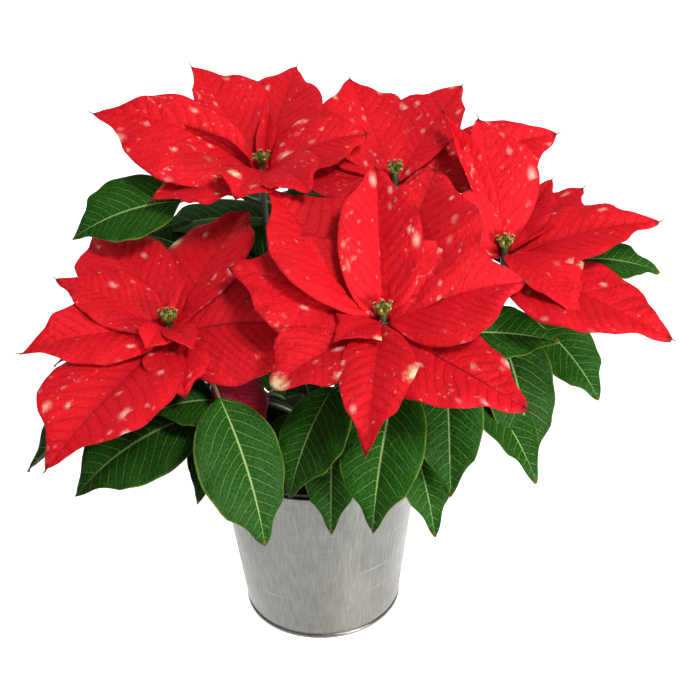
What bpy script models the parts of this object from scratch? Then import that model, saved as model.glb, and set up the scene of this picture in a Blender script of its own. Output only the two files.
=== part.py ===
"""Potted poinsettia: five red flower heads on one forked stem, green leaves below
them, soil in a plastic growing pot, and a tapered zinc cover pot around it.

Lengths are millimetres and angles are degrees, and the meshes are built in metres.
Azimuth 0 points along +X and 90 along +Y. The origin is the middle of the pot's
base, +Z is up, and the plant is seen from -Y.
"""

from dataclasses import dataclass
import math

import bmesh
import bpy
from mathutils import Vector

MM = 0.001
GAP = 0.3

# Zinc cover pot
POT_HEIGHT = 139.0
POT_TOP_RADIUS = 76.0
POT_BASE_RADIUS = 59.0
POT_WALL = 1.2
POT_BASE = 1.6
POT_HEM = 2.4
HEM_PROUD = 0.7
HEM_DRAFT = 0.1
FOOT_BEAD = 3.6
FOOT_GROOVE = 1.1
GROOVE_DEPTH = 0.7
EDGE_BREAK = 0.4
TURN_STEPS = 48

# Plastic growing pot inside it
LINER_RISE = 2.6
LINER_WALL = 1.4
LINER_CLEARANCE = 1.3
LINER_LIP_DEPTH = 4.0
LINER_EDGE = 0.5

# Soil
SOIL_TOP = 127.0
SOIL_CROWN = 2.0
SOIL_DEPTH = 96.0
SOIL_RINGS = (0.3, 0.6, 0.85)

# Woody stem and its fork
TRUNK_FOOT = Vector((2.0, 4.0, 84.0))
FORK = Vector((0.0, 0.0, 150.0))
TRUNK_FOOT_RADIUS = 6.0
TRUNK_FORK_RADIUS = 4.8
STUB_LENGTH = 17.0
STUB_RADIUS = 3.2
STUB_CLIMB = 0.9
STUB_ROOT = 2.0

# Green shoots, from the fork's stubs up to the flower heads
SHOOT_RADIUS = 2.8
SHOOT_TOP_RADIUS = 2.3
SHOOT_POINTS = 9
SHOOT_LEAVE = 0.45
SHOOT_ARRIVE = 0.4

# Flower heads
AXIS_LENGTH = 20.0
AXIS_RADIUS = 3.6
BRACT_RING = 4.0
BUD_RADIUS = 2.3
BUD_TOP_SHARE = 0.62
BUD_SMALLER = 0.08
BUD_HEIGHT = 6.4
BUD_SIDES = 5
BUD_LEAN = 0.55
BUD_RING = 4.0
BUD_SINK = 0.6
CUSHION_RADIUS = 3.6
CUSHION_HEIGHT = 2.6

# Petioles
PETIOLE_HALF_WIDTH = 1.2
PETIOLE_THICKNESS = 2.2
PETIOLE_ROWS = 2
PETIOLE_BOW = 0.14

# Blades of bracts and leaves
BLADE_THICKNESS = 0.8
ROOT_HALF_WIDTH = 1.6
TIP_HALF_WIDTH = 0.5
BLADE_COLUMNS = 2
BLADE_ROW = 20.5
FEWEST_ROWS = 4
MOST_ROWS = 7
ROLL_REACHED = 0.1

# Waves along a blade's margins, and how far one margin's lag the other's
WAVE_CYCLES = 1.6
WAVE_LAG = 0.13

# A tooth's slope toward the root and toward the tip, and its hollow flanks
TOOTH_ROOT_SLOPE = 0.6
TOOTH_TIP_REACH = 0.16
TOOTH_TIP_SHARE = 0.8
TOOTH_HOLLOW = 1.3

SHARP_EDGE = 40.0


@dataclass
class Blade:
    """One bract or leaf blade.

    az, rise and length give its tip from its root or base, arch bends it up between
    them, roll tips it about its midrib, fold lifts both margins into a V, peak is
    where it is widest, sharp how pointed it is, lean makes its right half wider than
    its left, drop lowers its root on the stem, and teeth are (place, height) pairs
    with a negative place on the left margin.
    """

    az: float
    rise: float
    length: float
    width: float
    arch: float = 0.05
    roll: float = 0.0
    fold: float = 8.0
    peak: float = 0.42
    sharp: float = 0.95
    lean: float = 0.0
    wave: float = 0.02
    phase: float = 0.0
    drop: float = 8.0
    teeth: tuple = ()


@dataclass
class Leaf:
    """A leaf: the height of its petiole on the shoot as a share of the shoot's
    length, the base of its blade, and the blade."""

    at: float
    base: tuple
    blade: Blade


@dataclass
class Head:
    """A flower head with its bracts, its bud cluster and the leafy shoot below it."""

    centre: tuple
    bud_turn: float
    buds: int
    bracts: list
    leaves: list
    stalked_bracts: list


HEADS = {
    "centre": Head(
        centre=(46.0, -40.0, 261.0),
        bud_turn=20.0,
        buds=6,
        bracts=[
            Blade(133, 30, 124, 104, arch=0.02, lean=0.15, peak=0.45, sharp=1.25),
            Blade(163, 13, 105, 84, arch=0.06, roll=-32, phase=0.2, drop=11),
            Blade(89, 42, 107, 64, arch=0.03, fold=26, peak=0.45, sharp=0.7),
            Blade(64, 34, 118, 86, peak=0.5, sharp=0.8, lean=0.2, drop=11, teeth=((-0.72, 0.25),)),
            Blade(4, 10, 93, 84, arch=0.06, roll=32, fold=14, teeth=((-0.36, 0.12),)),
            Blade(317, -16, 115, 78, arch=0.03, roll=12, lean=0.2, peak=0.38, sharp=0.8, drop=14),
            Blade(261, -19, 116, 46, sharp=1.0, drop=6, teeth=((-0.42, 0.2),)),
            Blade(218, -14, 92, 62, arch=0.08, roll=-14, peak=0.5, sharp=0.7, drop=14),
            Blade(224, -4, 44, 24, roll=-6, drop=5, teeth=((0.45, 0.9), (-0.5, 0.9))),
            Blade(130, 18, 36, 12, fold=20, drop=5),
            Blade(34, 20, 38, 12, fold=20, drop=5),
            Blade(292, -24, 62, 40, arch=0.08, drop=16),
        ],
        leaves=[
            Leaf(0.72, (54, -62, 224), Blade(250, -54, 103, 58, arch=0.1)),
            Leaf(0.62, (11, -52, 212), Blade(238, -42, 80, 50, arch=0.1, lean=-0.2)),
            Leaf(0.35, (11, -44, 190), Blade(265, -52, 84, 40, arch=0.1)),
            Leaf(0.36, (59, -25, 178), Blade(287, -46, 93, 42, arch=0.1)),
            Leaf(0.80, (84, -30, 238), Blade(0, -6, 84, 50, roll=25)),
            Leaf(0.55, (34, -46, 204), Blade(245, -30, 38, 26, arch=0.1, roll=-40)),
            Leaf(0.20, (-8, -26, 178), Blade(250, -30, 66, 42, arch=0.12)),
            Leaf(0.90, (48, -38, 239), Blade(22, 2, 63, 36, arch=0.1, roll=4)),
        ],
        stalked_bracts=[],
    ),
    "left": Head(
        centre=(-99.0, -15.0, 249.0),
        bud_turn=0.0,
        buds=7,
        bracts=[
            Blade(62, 20, 116, 76, arch=0.04, roll=-10, lean=-0.1, peak=0.48, sharp=0.85),
            Blade(124, 16, 106, 64, arch=0.06, roll=-10, drop=11,
                  teeth=((-0.78, 0.3), (0.7, 0.15))),
            Blade(160, 15, 82, 50, roll=-16, phase=0.3),
            Blade(196, -4, 96, 58, arch=0.08, roll=-24, sharp=1.0, drop=11),
            Blade(240, -17, 138, 84, arch=0.03, roll=-5, drop=14, teeth=((0.64, 0.15),)),
            Blade(358, -6, 98, 87, arch=0.08, roll=34, lean=0.17, peak=0.4, sharp=0.7, drop=11),
            Blade(248, -10, 30, 26, arch=0.1, roll=-20, drop=4),
            Blade(300, -10, 34, 24, arch=0.1, drop=4),
            Blade(68, 30, 36, 12, fold=20, drop=5),
            Blade(92, -6, 92, 56, arch=0.08, drop=15),
            Blade(283, -26, 62, 46, arch=0.08, drop=16),
        ],
        leaves=[
            Leaf(0.62, (-63, -74, 221), Blade(299, -58, 101, 60, arch=0.1, lean=0.15)),
            Leaf(0.45, (-74, -51, 197), Blade(200, -24, 104, 66, arch=0.1, roll=-32)),
            Leaf(0.70, (-108, -20, 208), Blade(203, -26, 110, 66, arch=0.08)),
            Leaf(0.86, (-127, 5, 225), Blade(186, -15, 60, 32, arch=0.08)),
            Leaf(0.55, (-66, -49, 204), Blade(199, 1, 47, 51, arch=0.08, roll=-16)),
            Leaf(0.30, (-46, -30, 182), Blade(232, -34, 74, 46, arch=0.12)),
            Leaf(0.42, (-70, 26, 196), Blade(150, -26, 98, 56, arch=0.1)),
            Leaf(0.25, (-23, 13, 167), Blade(90, -7, 81, 67, arch=0.1, roll=18)),
        ],
        stalked_bracts=[
            Leaf(0.2, (-67, -36, 215), Blade(325, -36, 47, 57, roll=-13)),
        ],
    ),
    "right": Head(
        centre=(135.0, 15.0, 282.0),
        bud_turn=10.0,
        buds=6,
        bracts=[
            Blade(97, 42, 101, 56, arch=0.04, lean=0.25, peak=0.55, sharp=0.8),
            Blade(113, 40, 114, 24, fold=40, peak=0.5, drop=10),
            Blade(51, 25, 68, 34, peak=0.5),
            Blade(40, 14, 84, 50, arch=0.04, peak=0.5, sharp=1.0, drop=11),
            Blade(0, 8, 104, 56, arch=0.06, roll=20, drop=11),
            Blade(321, -16, 128, 84, arch=0.03, roll=8, lean=0.2, drop=14),
            Blade(299, -17, 78, 44, arch=0.08, lean=-0.2, drop=5, teeth=((-0.5, 0.35),)),
            Blade(171, 19, 48, 60, arch=0.1, roll=-45, peak=0.6, sharp=0.6),
            Blade(20, 12, 48, 14, arch=0.08, fold=20, drop=5),
            Blade(75, -6, 92, 56, arch=0.08, drop=15),
        ],
        leaves=[
            Leaf(0.62, (129, 3, 230), Blade(290, -58, 106, 56, arch=0.1)),
            Leaf(0.45, (108, -8, 193), Blade(302, -33, 92, 42, arch=0.1)),
            Leaf(0.55, (90, -28, 215), Blade(268, -52, 92, 48, arch=0.1)),
            Leaf(0.72, (156, 38, 218), Blade(322, -40, 84, 46, arch=0.08, roll=30)),
            Leaf(0.88, (166, 14, 268), Blade(5, -9, 84, 46, arch=0.08, roll=20)),
            Leaf(0.66, (120, 62, 226), Blade(58, -28, 104, 58, arch=0.1)),
            Leaf(0.34, (78, 34, 188), Blade(20, -28, 96, 54, arch=0.1)),
        ],
        stalked_bracts=[],
    ),
    "back_left": Head(
        centre=(-33.0, 75.0, 328.0),
        bud_turn=20.0,
        buds=5,
        bracts=[
            Blade(165, 14, 126, 70, arch=0.1, roll=-38, lean=-0.35, teeth=((0.55, 0.12),)),
            Blade(121, 26, 110, 60, arch=0.04, lean=0.35, peak=0.5, sharp=1.0),
            Blade(74, 24, 105, 78, arch=0.03, lean=-0.15, peak=0.5, sharp=1.15),
            Blade(12, 10, 76, 50, arch=0.08, roll=28, peak=0.55, sharp=0.6),
            Blade(82, 30, 52, 16, fold=40, drop=5),
            Blade(304, -5, 57, 49, arch=0.13, roll=16, peak=0.5, drop=6),
            Blade(255, -4, 57, 44, arch=0.04, roll=-16, peak=0.5, drop=4),
            Blade(199, -11, 80, 60, arch=0.04, roll=-13, peak=0.5, drop=7),
            Blade(160, 16, 74, 26, arch=0.08, roll=45, drop=5),
            Blade(105, -8, 96, 58, arch=0.08, drop=15),
        ],
        leaves=[
            Leaf(0.93, (-92, 66, 304), Blade(194, -13, 82, 60, arch=0.08, roll=-28)),
            Leaf(0.70, (-14, 102, 270), Blade(177, -5, 116, 64, arch=0.08)),
            Leaf(0.76, (-22, 128, 278), Blade(98, -28, 104, 58, arch=0.1)),
            Leaf(0.50, (-62, 92, 232), Blade(150, -30, 104, 58, arch=0.1)),
            Leaf(0.34, (-24, 70, 196), Blade(118, -34, 92, 52, arch=0.1)),
            Leaf(0.60, (-27, 73, 239), Blade(148, 10, 93, 60, arch=0.1, roll=-22)),
            Leaf(0.80, (-17, 97, 289), Blade(28, -11, 73, 47, arch=0.1, roll=3)),
            Leaf(0.45, (-65, 59, 245), Blade(154, 20, 73, 60, arch=0.1, roll=-12)),
        ],
        stalked_bracts=[],
    ),
    "back_right": Head(
        centre=(63.0, 75.0, 317.0),
        bud_turn=45.0,
        buds=5,
        bracts=[
            Blade(108, 28, 98, 78, arch=0.03, lean=-0.1, peak=0.48, sharp=1.0),
            Blade(52, 25, 98, 70, arch=0.03, lean=-0.3, peak=0.5, sharp=1.0),
            Blade(16, 6, 126, 66, roll=32, lean=0.3, peak=0.55, drop=11),
            Blade(140, 5, 62, 50, arch=0.08, peak=0.5),
            Blade(184, -1, 79, 55, arch=0.06, roll=-20, drop=9),
            Blade(80, -6, 96, 60, arch=0.08, drop=15),
            Blade(30, -10, 88, 54, arch=0.08, drop=15),
        ],
        leaves=[
            Leaf(0.74, (70, 126, 268), Blade(76, -26, 108, 60, arch=0.1)),
            Leaf(0.66, (104, 108, 256), Blade(40, -26, 104, 58, arch=0.1)),
            Leaf(0.48, (44, 104, 228), Blade(100, -34, 104, 58, arch=0.1)),
        ],
        stalked_bracts=[],
    ),
}

COLOURS = {
    "zinc": ((0.42, 0.41, 0.40), 0.45, 0.85),
    "liner": ((0.012, 0.016, 0.012), 0.5, 0.0),
    "soil": ((0.02, 0.014, 0.01), 0.95, 0.0),
    "stem": ((0.12, 0.1, 0.04), 0.7, 0.0),
    "leaf": ((0.015, 0.1, 0.012), 0.45, 0.0),
    "bract": ((0.75, 0.012, 0.02), 0.5, 0.0),
    "bud": ((0.35, 0.4, 0.05), 0.5, 0.0),
}


def clear_scene():
    """Remove every object that the open file holds."""
    for obj in list(bpy.data.objects):
        bpy.data.objects.remove(obj, do_unlink=True)


def make_collection(name):
    """Return a new collection linked to the scene."""
    collection = bpy.data.collections.new(name)
    bpy.context.scene.collection.children.link(collection)
    return collection


def make_material(name):
    """Return a Principled material with the colour, roughness and metallic value."""
    colour, roughness, metallic = COLOURS[name]
    material = bpy.data.materials.new(name)
    material.use_nodes = True
    shader = material.node_tree.nodes["Principled BSDF"]
    shader.inputs["Base Color"].default_value = (*colour, 1.0)
    shader.inputs["Roughness"].default_value = roughness
    shader.inputs["Metallic"].default_value = metallic
    material.diffuse_color = (*colour, 1.0)
    return material


def add_object(name, mesh, collection, material=None):
    """Link a mesh to a collection as a named object."""
    obj = bpy.data.objects.new(name, mesh)
    collection.objects.link(obj)
    if material is not None:
        mesh.materials.clear()
        mesh.materials.append(material)
    return obj


def turned(name, profile, collection, material):
    """Turn a profile of (radius, height) points in millimetres about the Z axis."""
    mesh = bpy.data.meshes.new(name)
    points = [(radius * MM, 0.0, height * MM) for radius, height in profile]
    edges = [(i, i + 1) for i in range(len(points) - 1)]
    mesh.from_pydata(points, edges, [])
    obj = add_object(name, mesh, collection, material)
    screw = obj.modifiers.new("turn", "SCREW")
    screw.steps = TURN_STEPS
    screw.render_steps = TURN_STEPS
    screw.use_merge_vertices = True
    screw.merge_threshold = 0.00001
    screw.use_smooth_shade = True
    return obj


def tube_mesh(name, points, radii, resolution=2):
    """Return the closed mesh of a tube through points, with a radius at each."""
    curve = bpy.data.curves.new(name, "CURVE")
    curve.dimensions = "3D"
    curve.bevel_depth = MM
    curve.bevel_resolution = resolution
    curve.use_fill_caps = True
    spline = curve.splines.new("POLY")
    spline.points.add(len(points) - 1)
    for slot, point, radius in zip(spline.points, points, radii):
        slot.co = (*(Vector(point) * MM), 1.0)
        slot.radius = radius
    source = bpy.data.objects.new(name + "_curve", curve)
    bpy.context.scene.collection.objects.link(source)
    graph = bpy.context.evaluated_depsgraph_get()
    mesh = bpy.data.meshes.new_from_object(source.evaluated_get(graph))
    bpy.data.objects.remove(source, do_unlink=True)
    shell = bmesh.new()
    shell.from_mesh(mesh)
    bmesh.ops.remove_doubles(shell, verts=shell.verts, dist=0.000001)
    bmesh.ops.triangulate(shell, faces=shell.faces)
    bmesh.ops.recalc_face_normals(shell, faces=shell.faces)
    shell.to_mesh(mesh)
    shell.free()
    return mesh


def direction(az, rise):
    """Return the unit vector of an azimuth and a rise in degrees."""
    flat = math.cos(math.radians(rise))
    return Vector((
        flat * math.cos(math.radians(az)),
        flat * math.sin(math.radians(az)),
        math.sin(math.radians(rise)),
    ))


def half_width(blade, s, side):
    """Return half the blade's width at share s of its length, on side +1 or -1."""
    root_power = blade.sharp * blade.peak / (1.0 - blade.peak)
    widest = blade.peak ** root_power * (1.0 - blade.peak) ** blade.sharp
    share = s ** root_power * (1.0 - s) ** blade.sharp / widest
    for place, height in blade.teeth:
        if place * side > 0.0:
            near = TOOTH_ROOT_SLOPE * abs(place)
            far = min(TOOTH_TIP_REACH, TOOTH_TIP_SHARE * (1.0 - abs(place)))
            reach = near if s < abs(place) else far
            share += height * max(0.0, 1.0 - abs(s - abs(place)) / reach) ** TOOTH_HOLLOW
    return 0.5 * blade.width * share * (1.0 + side * blade.lean)


def blade_path(blade, start, base, tip, rows):
    """Return (s, point) pairs along the midrib, with s below 0 on the petiole."""
    chord = tip - base
    lift = chord.cross(Vector((0, 0, 1))).normalized().cross(chord)
    bow = (base - start).length * PETIOLE_BOW
    path = []
    for i in range(PETIOLE_ROWS):
        t = i / PETIOLE_ROWS
        point = start.lerp(base, t) + Vector((0, 0, 4 * bow * t * (1 - t)))
        path.append((t - 1.0, point))
    for i in range(rows + 1):
        s = i / rows
        path.append((s, base + chord * s + lift * (blade.arch * 4 * s * (1 - s))))
    return path


def blade_grid(blade, path):
    """Return rows of (point, normal) pairs across the blade, and their thickness."""
    flat = direction(blade.az, 0.0)
    across = flat.cross(Vector((0, 0, 1)))
    fold = math.radians(blade.fold)
    grid = []
    for i, (s, point) in enumerate(path):
        before = path[max(i - 1, 0)][1]
        after = path[min(i + 1, len(path) - 1)][1]
        tangent = (after - before).normalized()
        side = (across - tangent * tangent.dot(across)).normalized()
        up = side.cross(tangent)
        turn = math.radians(blade.roll) * min(1.0, max(0.0, s) / ROLL_REACHED)
        right = side * math.cos(turn) - up * math.sin(turn)
        normal = up * math.cos(turn) + side * math.sin(turn)
        line = []
        for j in range(BLADE_COLUMNS + 1):
            u = 2.0 * j / BLADE_COLUMNS - 1.0
            hand = 1.0 if u > 0.0 else -1.0
            if s < 0.0:
                line.append((point + right * (u * PETIOLE_HALF_WIDTH), normal))
                continue
            least = ROOT_HALF_WIDTH if s < 0.5 else TIP_HALF_WIDTH
            reach = abs(u) * max(half_width(blade, s, hand), least)
            swell = math.sin(2 * math.pi * (WAVE_CYCLES * s + blade.phase + WAVE_LAG * hand))
            height = reach * math.sin(fold) + blade.wave * blade.length * u * u * swell * s
            line.append((
                point + right * (hand * reach * math.cos(fold)) + normal * height,
                normal,
            ))
        thickness = PETIOLE_THICKNESS if s < 0.0 else BLADE_THICKNESS / math.cos(fold)
        grid.append((line, thickness))
    return grid


def blade_mesh(name, blade, start, base, tip):
    """Return the closed mesh of a bract or leaf, a loft of thin sections.

    Both faces are split into triangles along the same diagonals.
    """
    rows = min(MOST_ROWS, max(FEWEST_ROWS, round(blade.length / BLADE_ROW)))
    grid = blade_grid(blade, blade_path(blade, start, base, tip, rows))
    shell = bmesh.new()
    tops = []
    bottoms = []
    for line, thickness in grid:
        half = 0.5 * thickness
        tops.append([shell.verts.new((p + n * half) * MM) for p, n in line])
        bottoms.append([shell.verts.new((p - n * half) * MM) for p, n in line])
    for i in range(len(grid) - 1):
        for j in range(BLADE_COLUMNS):
            flip = (i + j) % 2
            for layer in (tops, bottoms):
                a, b = layer[i][j], layer[i][j + 1]
                c, d = layer[i + 1][j + 1], layer[i + 1][j]
                if flip:
                    shell.faces.new((a, b, c))
                    shell.faces.new((a, c, d))
                else:
                    shell.faces.new((a, b, d))
                    shell.faces.new((b, c, d))
        for j in (0, BLADE_COLUMNS):
            a, b = tops[i][j], tops[i + 1][j]
            c, d = bottoms[i + 1][j], bottoms[i][j]
            shell.faces.new((a, b, c))
            shell.faces.new((a, c, d))
    for i in (0, len(grid) - 1):
        for j in range(BLADE_COLUMNS):
            a, b = tops[i][j], tops[i][j + 1]
            c, d = bottoms[i][j + 1], bottoms[i][j]
            shell.faces.new((a, b, c))
            shell.faces.new((a, c, d))
    bmesh.ops.recalc_face_normals(shell, faces=shell.faces)
    mesh = bpy.data.meshes.new(name)
    shell.to_mesh(mesh)
    shell.free()
    return mesh


def fuse(name, body, pieces, collection, material, solver="EXACT"):
    """Join a body mesh and its pieces into one closed object.

    Thin blades that cross near a stem need the MANIFOLD solver, because EXACT leaves
    open edges between them.
    """
    obj = add_object(name, body, collection, material)
    repeats = make_collection(name + "_repeats")
    for i, piece in enumerate(pieces):
        repeat = add_object(f"{name}_repeat_{i:02d}", piece, repeats, material)
        repeat.hide_render = True
        repeat.display_type = "WIRE"
    union = obj.modifiers.new("union", "BOOLEAN")
    union.operation = "UNION"
    union.operand_type = "COLLECTION"
    union.collection = repeats
    union.solver = solver
    graph = bpy.context.evaluated_depsgraph_get()
    fused = bpy.data.meshes.new_from_object(obj.evaluated_get(graph))
    obj.modifiers.clear()
    obj.data = fused
    fused.name = name
    for repeat in list(repeats.objects):
        bpy.data.objects.remove(repeat, do_unlink=True)
    bpy.data.collections.remove(repeats)
    fused.shade_smooth()
    fused.set_sharp_from_angle(angle=math.radians(SHARP_EDGE))
    return obj


def pot_radius(height):
    """Return the zinc pot's outer radius at a height."""
    share = height / POT_HEIGHT
    return POT_BASE_RADIUS + (POT_TOP_RADIUS - POT_BASE_RADIUS) * share


def build_pot(parts):
    """Turn the tapered zinc pot with its hemmed rim and crimped foot."""
    inner_top = pot_radius(POT_HEIGHT) - POT_WALL
    inner_base = pot_radius(POT_BASE) - POT_WALL
    hem_low = POT_HEIGHT - POT_HEM
    hem_radius = POT_TOP_RADIUS + HEM_PROUD
    groove = FOOT_BEAD + FOOT_GROOVE
    wall_low = groove + FOOT_GROOVE
    profile = [
        (0.0, POT_BASE),
        (inner_base, POT_BASE),
        (inner_top, POT_HEIGHT - EDGE_BREAK),
        (inner_top + EDGE_BREAK, POT_HEIGHT),
        (hem_radius - 1.5 * EDGE_BREAK, POT_HEIGHT),
        (hem_radius, POT_HEIGHT - 2 * EDGE_BREAK),
        (hem_radius - HEM_DRAFT, hem_low + EDGE_BREAK),
        (pot_radius(hem_low), hem_low),
        (pot_radius(wall_low), wall_low),
        (pot_radius(groove) - GROOVE_DEPTH, groove),
        (pot_radius(FOOT_BEAD) - GROOVE_DEPTH, FOOT_BEAD + EDGE_BREAK),
        (pot_radius(FOOT_BEAD) + EDGE_BREAK, FOOT_BEAD - EDGE_BREAK),
        (POT_BASE_RADIUS + 1.5 * EDGE_BREAK, 0.5 * FOOT_BEAD),
        (POT_BASE_RADIUS + 0.5 * EDGE_BREAK, EDGE_BREAK),
        (POT_BASE_RADIUS - 1.5 * EDGE_BREAK, 0.0),
        (0.0, 0.0),
    ]
    return turned("pot", profile, parts, make_material("zinc"))


def liner_radius(height):
    """Return the growing pot's outer radius at a height."""
    return pot_radius(height) - POT_WALL - LINER_CLEARANCE


def build_liner(parts):
    """Turn the plastic growing pot, whose lip stands just above the zinc rim."""
    top = POT_HEIGHT + LINER_RISE
    floor = POT_BASE + GAP
    lip = POT_TOP_RADIUS - POT_WALL - 2 * GAP
    lip_low = POT_HEIGHT - LINER_LIP_DEPTH
    inner_top = liner_radius(top) - LINER_WALL
    profile = [
        (0.0, floor + LINER_WALL),
        (liner_radius(floor + LINER_WALL) - LINER_WALL, floor + LINER_WALL),
        (inner_top, top - LINER_EDGE),
        (inner_top + LINER_EDGE, top),
        (lip - LINER_EDGE, top),
        (lip, top - LINER_EDGE),
        (lip, POT_HEIGHT),
        (lip - LINER_EDGE, lip_low + LINER_EDGE),
        (liner_radius(lip_low), lip_low),
        (liner_radius(floor), floor),
        (0.0, floor),
    ]
    return turned("grow_pot", profile, parts, make_material("liner"))


def build_soil(parts, cutters):
    """Turn the soil, crowned in the middle, with a plain hole for the stem."""
    low = SOIL_TOP - SOIL_DEPTH
    edge_top = liner_radius(SOIL_TOP) - LINER_WALL - GAP
    edge_low = liner_radius(low) - LINER_WALL - GAP
    profile = [(0.0, SOIL_TOP + SOIL_CROWN)]
    for share in SOIL_RINGS:
        swell = SOIL_CROWN * math.cos(0.5 * math.pi * share)
        profile.append((edge_top * share, SOIL_TOP + swell))
    profile += [(edge_top, SOIL_TOP), (edge_low, low), (0.0, low)]
    soil = turned("soil", profile, parts, make_material("soil"))
    hole = tube_mesh(
        "stem_hole",
        [TRUNK_FOOT - Vector((0, 0, GAP)), FORK],
        [TRUNK_FOOT_RADIUS + GAP, TRUNK_FOOT_RADIUS + GAP],
        resolution=5,
    )
    cutter = add_object("stem_hole", hole, cutters)
    cutter.hide_render = True
    cutter.display_type = "WIRE"
    cut = soil.modifiers.new("stem_hole", "BOOLEAN")
    cut.operation = "DIFFERENCE"
    cut.object = cutter
    return soil


def shoot_start(head):
    """Return where a shoot leaves the fork, and its direction there."""
    centre = Vector(head.centre)
    outward = Vector((centre.x, centre.y, 0.0)).normalized()
    way = (outward + Vector((0, 0, STUB_CLIMB))).normalized()
    return FORK + way * STUB_LENGTH, way


def shoot_point(head, t):
    """Return the point at share t along the shoot's centre line."""
    start, way = shoot_start(head)
    start = start + way * GAP
    end = Vector(head.centre) - Vector((0, 0, AXIS_LENGTH + 2 * GAP))
    span = (end - start).length
    near = start + way * (SHOOT_LEAVE * span)
    far = end - Vector((0, 0, SHOOT_ARRIVE * span))
    r = 1.0 - t
    return start * r ** 3 + near * (3 * r * r * t) + far * (3 * r * t * t) + end * t ** 3


def build_trunk(parts):
    """Fuse the woody stem and the five stubs where it forks."""
    radii = [TRUNK_FOOT_RADIUS, TRUNK_FORK_RADIUS]
    body = tube_mesh("trunk", [TRUNK_FOOT, FORK], radii, resolution=3)
    stubs = []
    for key, head in HEADS.items():
        end, way = shoot_start(head)
        start = FORK - way * STUB_ROOT
        stubs.append(tube_mesh("stub_" + key, [start, end], [STUB_RADIUS, STUB_RADIUS]))
    return fuse("trunk", body, stubs, parts, make_material("stem"))


def build_shoot(key, head, parts):
    """Fuse a green shoot with its petioles and leaves."""
    shares = [i / (SHOOT_POINTS - 1) for i in range(SHOOT_POINTS)]
    points = [shoot_point(head, t) for t in shares]
    radii = [SHOOT_RADIUS + (SHOOT_TOP_RADIUS - SHOOT_RADIUS) * t for t in shares]
    body = tube_mesh("shoot_" + key, points, radii)
    leaves = []
    for i, leaf in enumerate(head.leaves):
        start = shoot_point(head, leaf.at)
        leaves.append(stalked_blade(f"leaf_{key}_{i}", leaf, start))
    leaf_green = make_material("leaf")
    return fuse("leaves_" + key, body, leaves, parts, leaf_green, solver="MANIFOLD")


def stalked_blade(name, leaf, start):
    """Return the mesh of a blade on a long petiole that leaves the stem at start."""
    base = Vector(leaf.base)
    tip = base + direction(leaf.blade.az, leaf.blade.rise) * leaf.blade.length
    return blade_mesh(name, leaf.blade, start, base, tip)


def bract(name, centre, blade):
    """Return the mesh of a bract, whose tip is placed from the head's centre."""
    ring = centre + direction(blade.az, 0.0) * BRACT_RING
    tip = ring + direction(blade.az, blade.rise) * blade.length
    drop = Vector((0, 0, blade.drop))
    return blade_mesh(name, blade, centre - drop, ring - drop, tip)


def build_bracts(key, head, parts):
    """Fuse a flower head's bracts with the stem section that carries them."""
    centre = Vector(head.centre)
    foot = centre - Vector((0, 0, AXIS_LENGTH))
    body = tube_mesh("axis_" + key, [foot, centre], [AXIS_RADIUS, AXIS_RADIUS])
    bracts = []
    for i, blade in enumerate(head.bracts):
        bracts.append(bract(f"bract_{key}_{i}", centre, blade))
    for i, leaf in enumerate(head.stalked_bracts):
        start = foot.lerp(centre, leaf.at)
        bracts.append(stalked_blade(f"stalked_{key}_{i}", leaf, start))
    bract_red = make_material("bract")
    return fuse("bracts_" + key, body, bracts, parts, bract_red, solver="MANIFOLD")


def bud_mesh(name, place, lean, scale):
    """Return a small closed bud, a few-sided barrel, widest at its foot."""
    shell = bmesh.new()
    bmesh.ops.create_cone(
        shell,
        cap_ends=True,
        segments=BUD_SIDES,
        radius1=BUD_RADIUS * scale * MM,
        radius2=BUD_TOP_SHARE * BUD_RADIUS * scale * MM,
        depth=BUD_HEIGHT * scale * MM,
    )
    turn = Vector((0, 0, 1)).rotation_difference(lean.normalized()).to_matrix().to_4x4()
    bmesh.ops.transform(shell, matrix=turn, verts=shell.verts)
    bmesh.ops.translate(shell, vec=place * MM, verts=shell.verts)
    bmesh.ops.triangulate(shell, faces=shell.faces)
    mesh = bpy.data.meshes.new(name)
    shell.to_mesh(mesh)
    shell.free()
    return mesh


def build_buds(key, head, parts):
    """Fuse the cluster of small yellow-green buds in the middle of a flower head."""
    foot = Vector(head.centre) + Vector((0, 0, GAP))
    top = foot + Vector((0, 0, CUSHION_HEIGHT))
    body = tube_mesh("cushion_" + key, [foot, top], [CUSHION_RADIUS] * 2, resolution=1)
    upright = Vector((0, 0, 1))
    rise = upright * (CUSHION_HEIGHT + 0.5 * BUD_HEIGHT - 2 * BUD_SINK)
    middle = foot + rise + upright * BUD_SINK
    buds = [bud_mesh(f"bud_{key}_middle", middle, upright, 1.0)]
    for i in range(head.buds - 1):
        az = head.bud_turn + 360.0 * i / (head.buds - 1)
        out = direction(az, 0.0)
        lean = out * BUD_LEAN + upright
        place = foot + rise + out * BUD_RING - upright * BUD_SINK
        scale = 1.0 - BUD_SMALLER * (i % 3)
        buds.append(bud_mesh(f"bud_{key}_{i}", place, lean, scale))
    return fuse("buds_" + key, body, buds, parts, make_material("bud"))


def main():
    """Build the pot, the soil and the plant."""
    clear_scene()
    parts = make_collection("poinsettia")
    cutters = make_collection("cutters")
    build_pot(parts)
    build_liner(parts)
    build_soil(parts, cutters)
    build_trunk(parts)
    for key, head in HEADS.items():
        build_shoot(key, head, parts)
        build_bracts(key, head, parts)
        build_buds(key, head, parts)


main()
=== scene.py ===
"""Potted poinsettia: finished bracts, leaves, buds, stems, soil and pot over the solids.

Sizes are millimetres and angles are degrees until a mesh is made, which is in metres.
Azimuth 0 points along +X and 90 along +Y, the origin is the middle of the pot's base,
and the camera looks from -Y.
"""

from __future__ import annotations

from dataclasses import dataclass, field
from enum import Enum
import logging
import math

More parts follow.
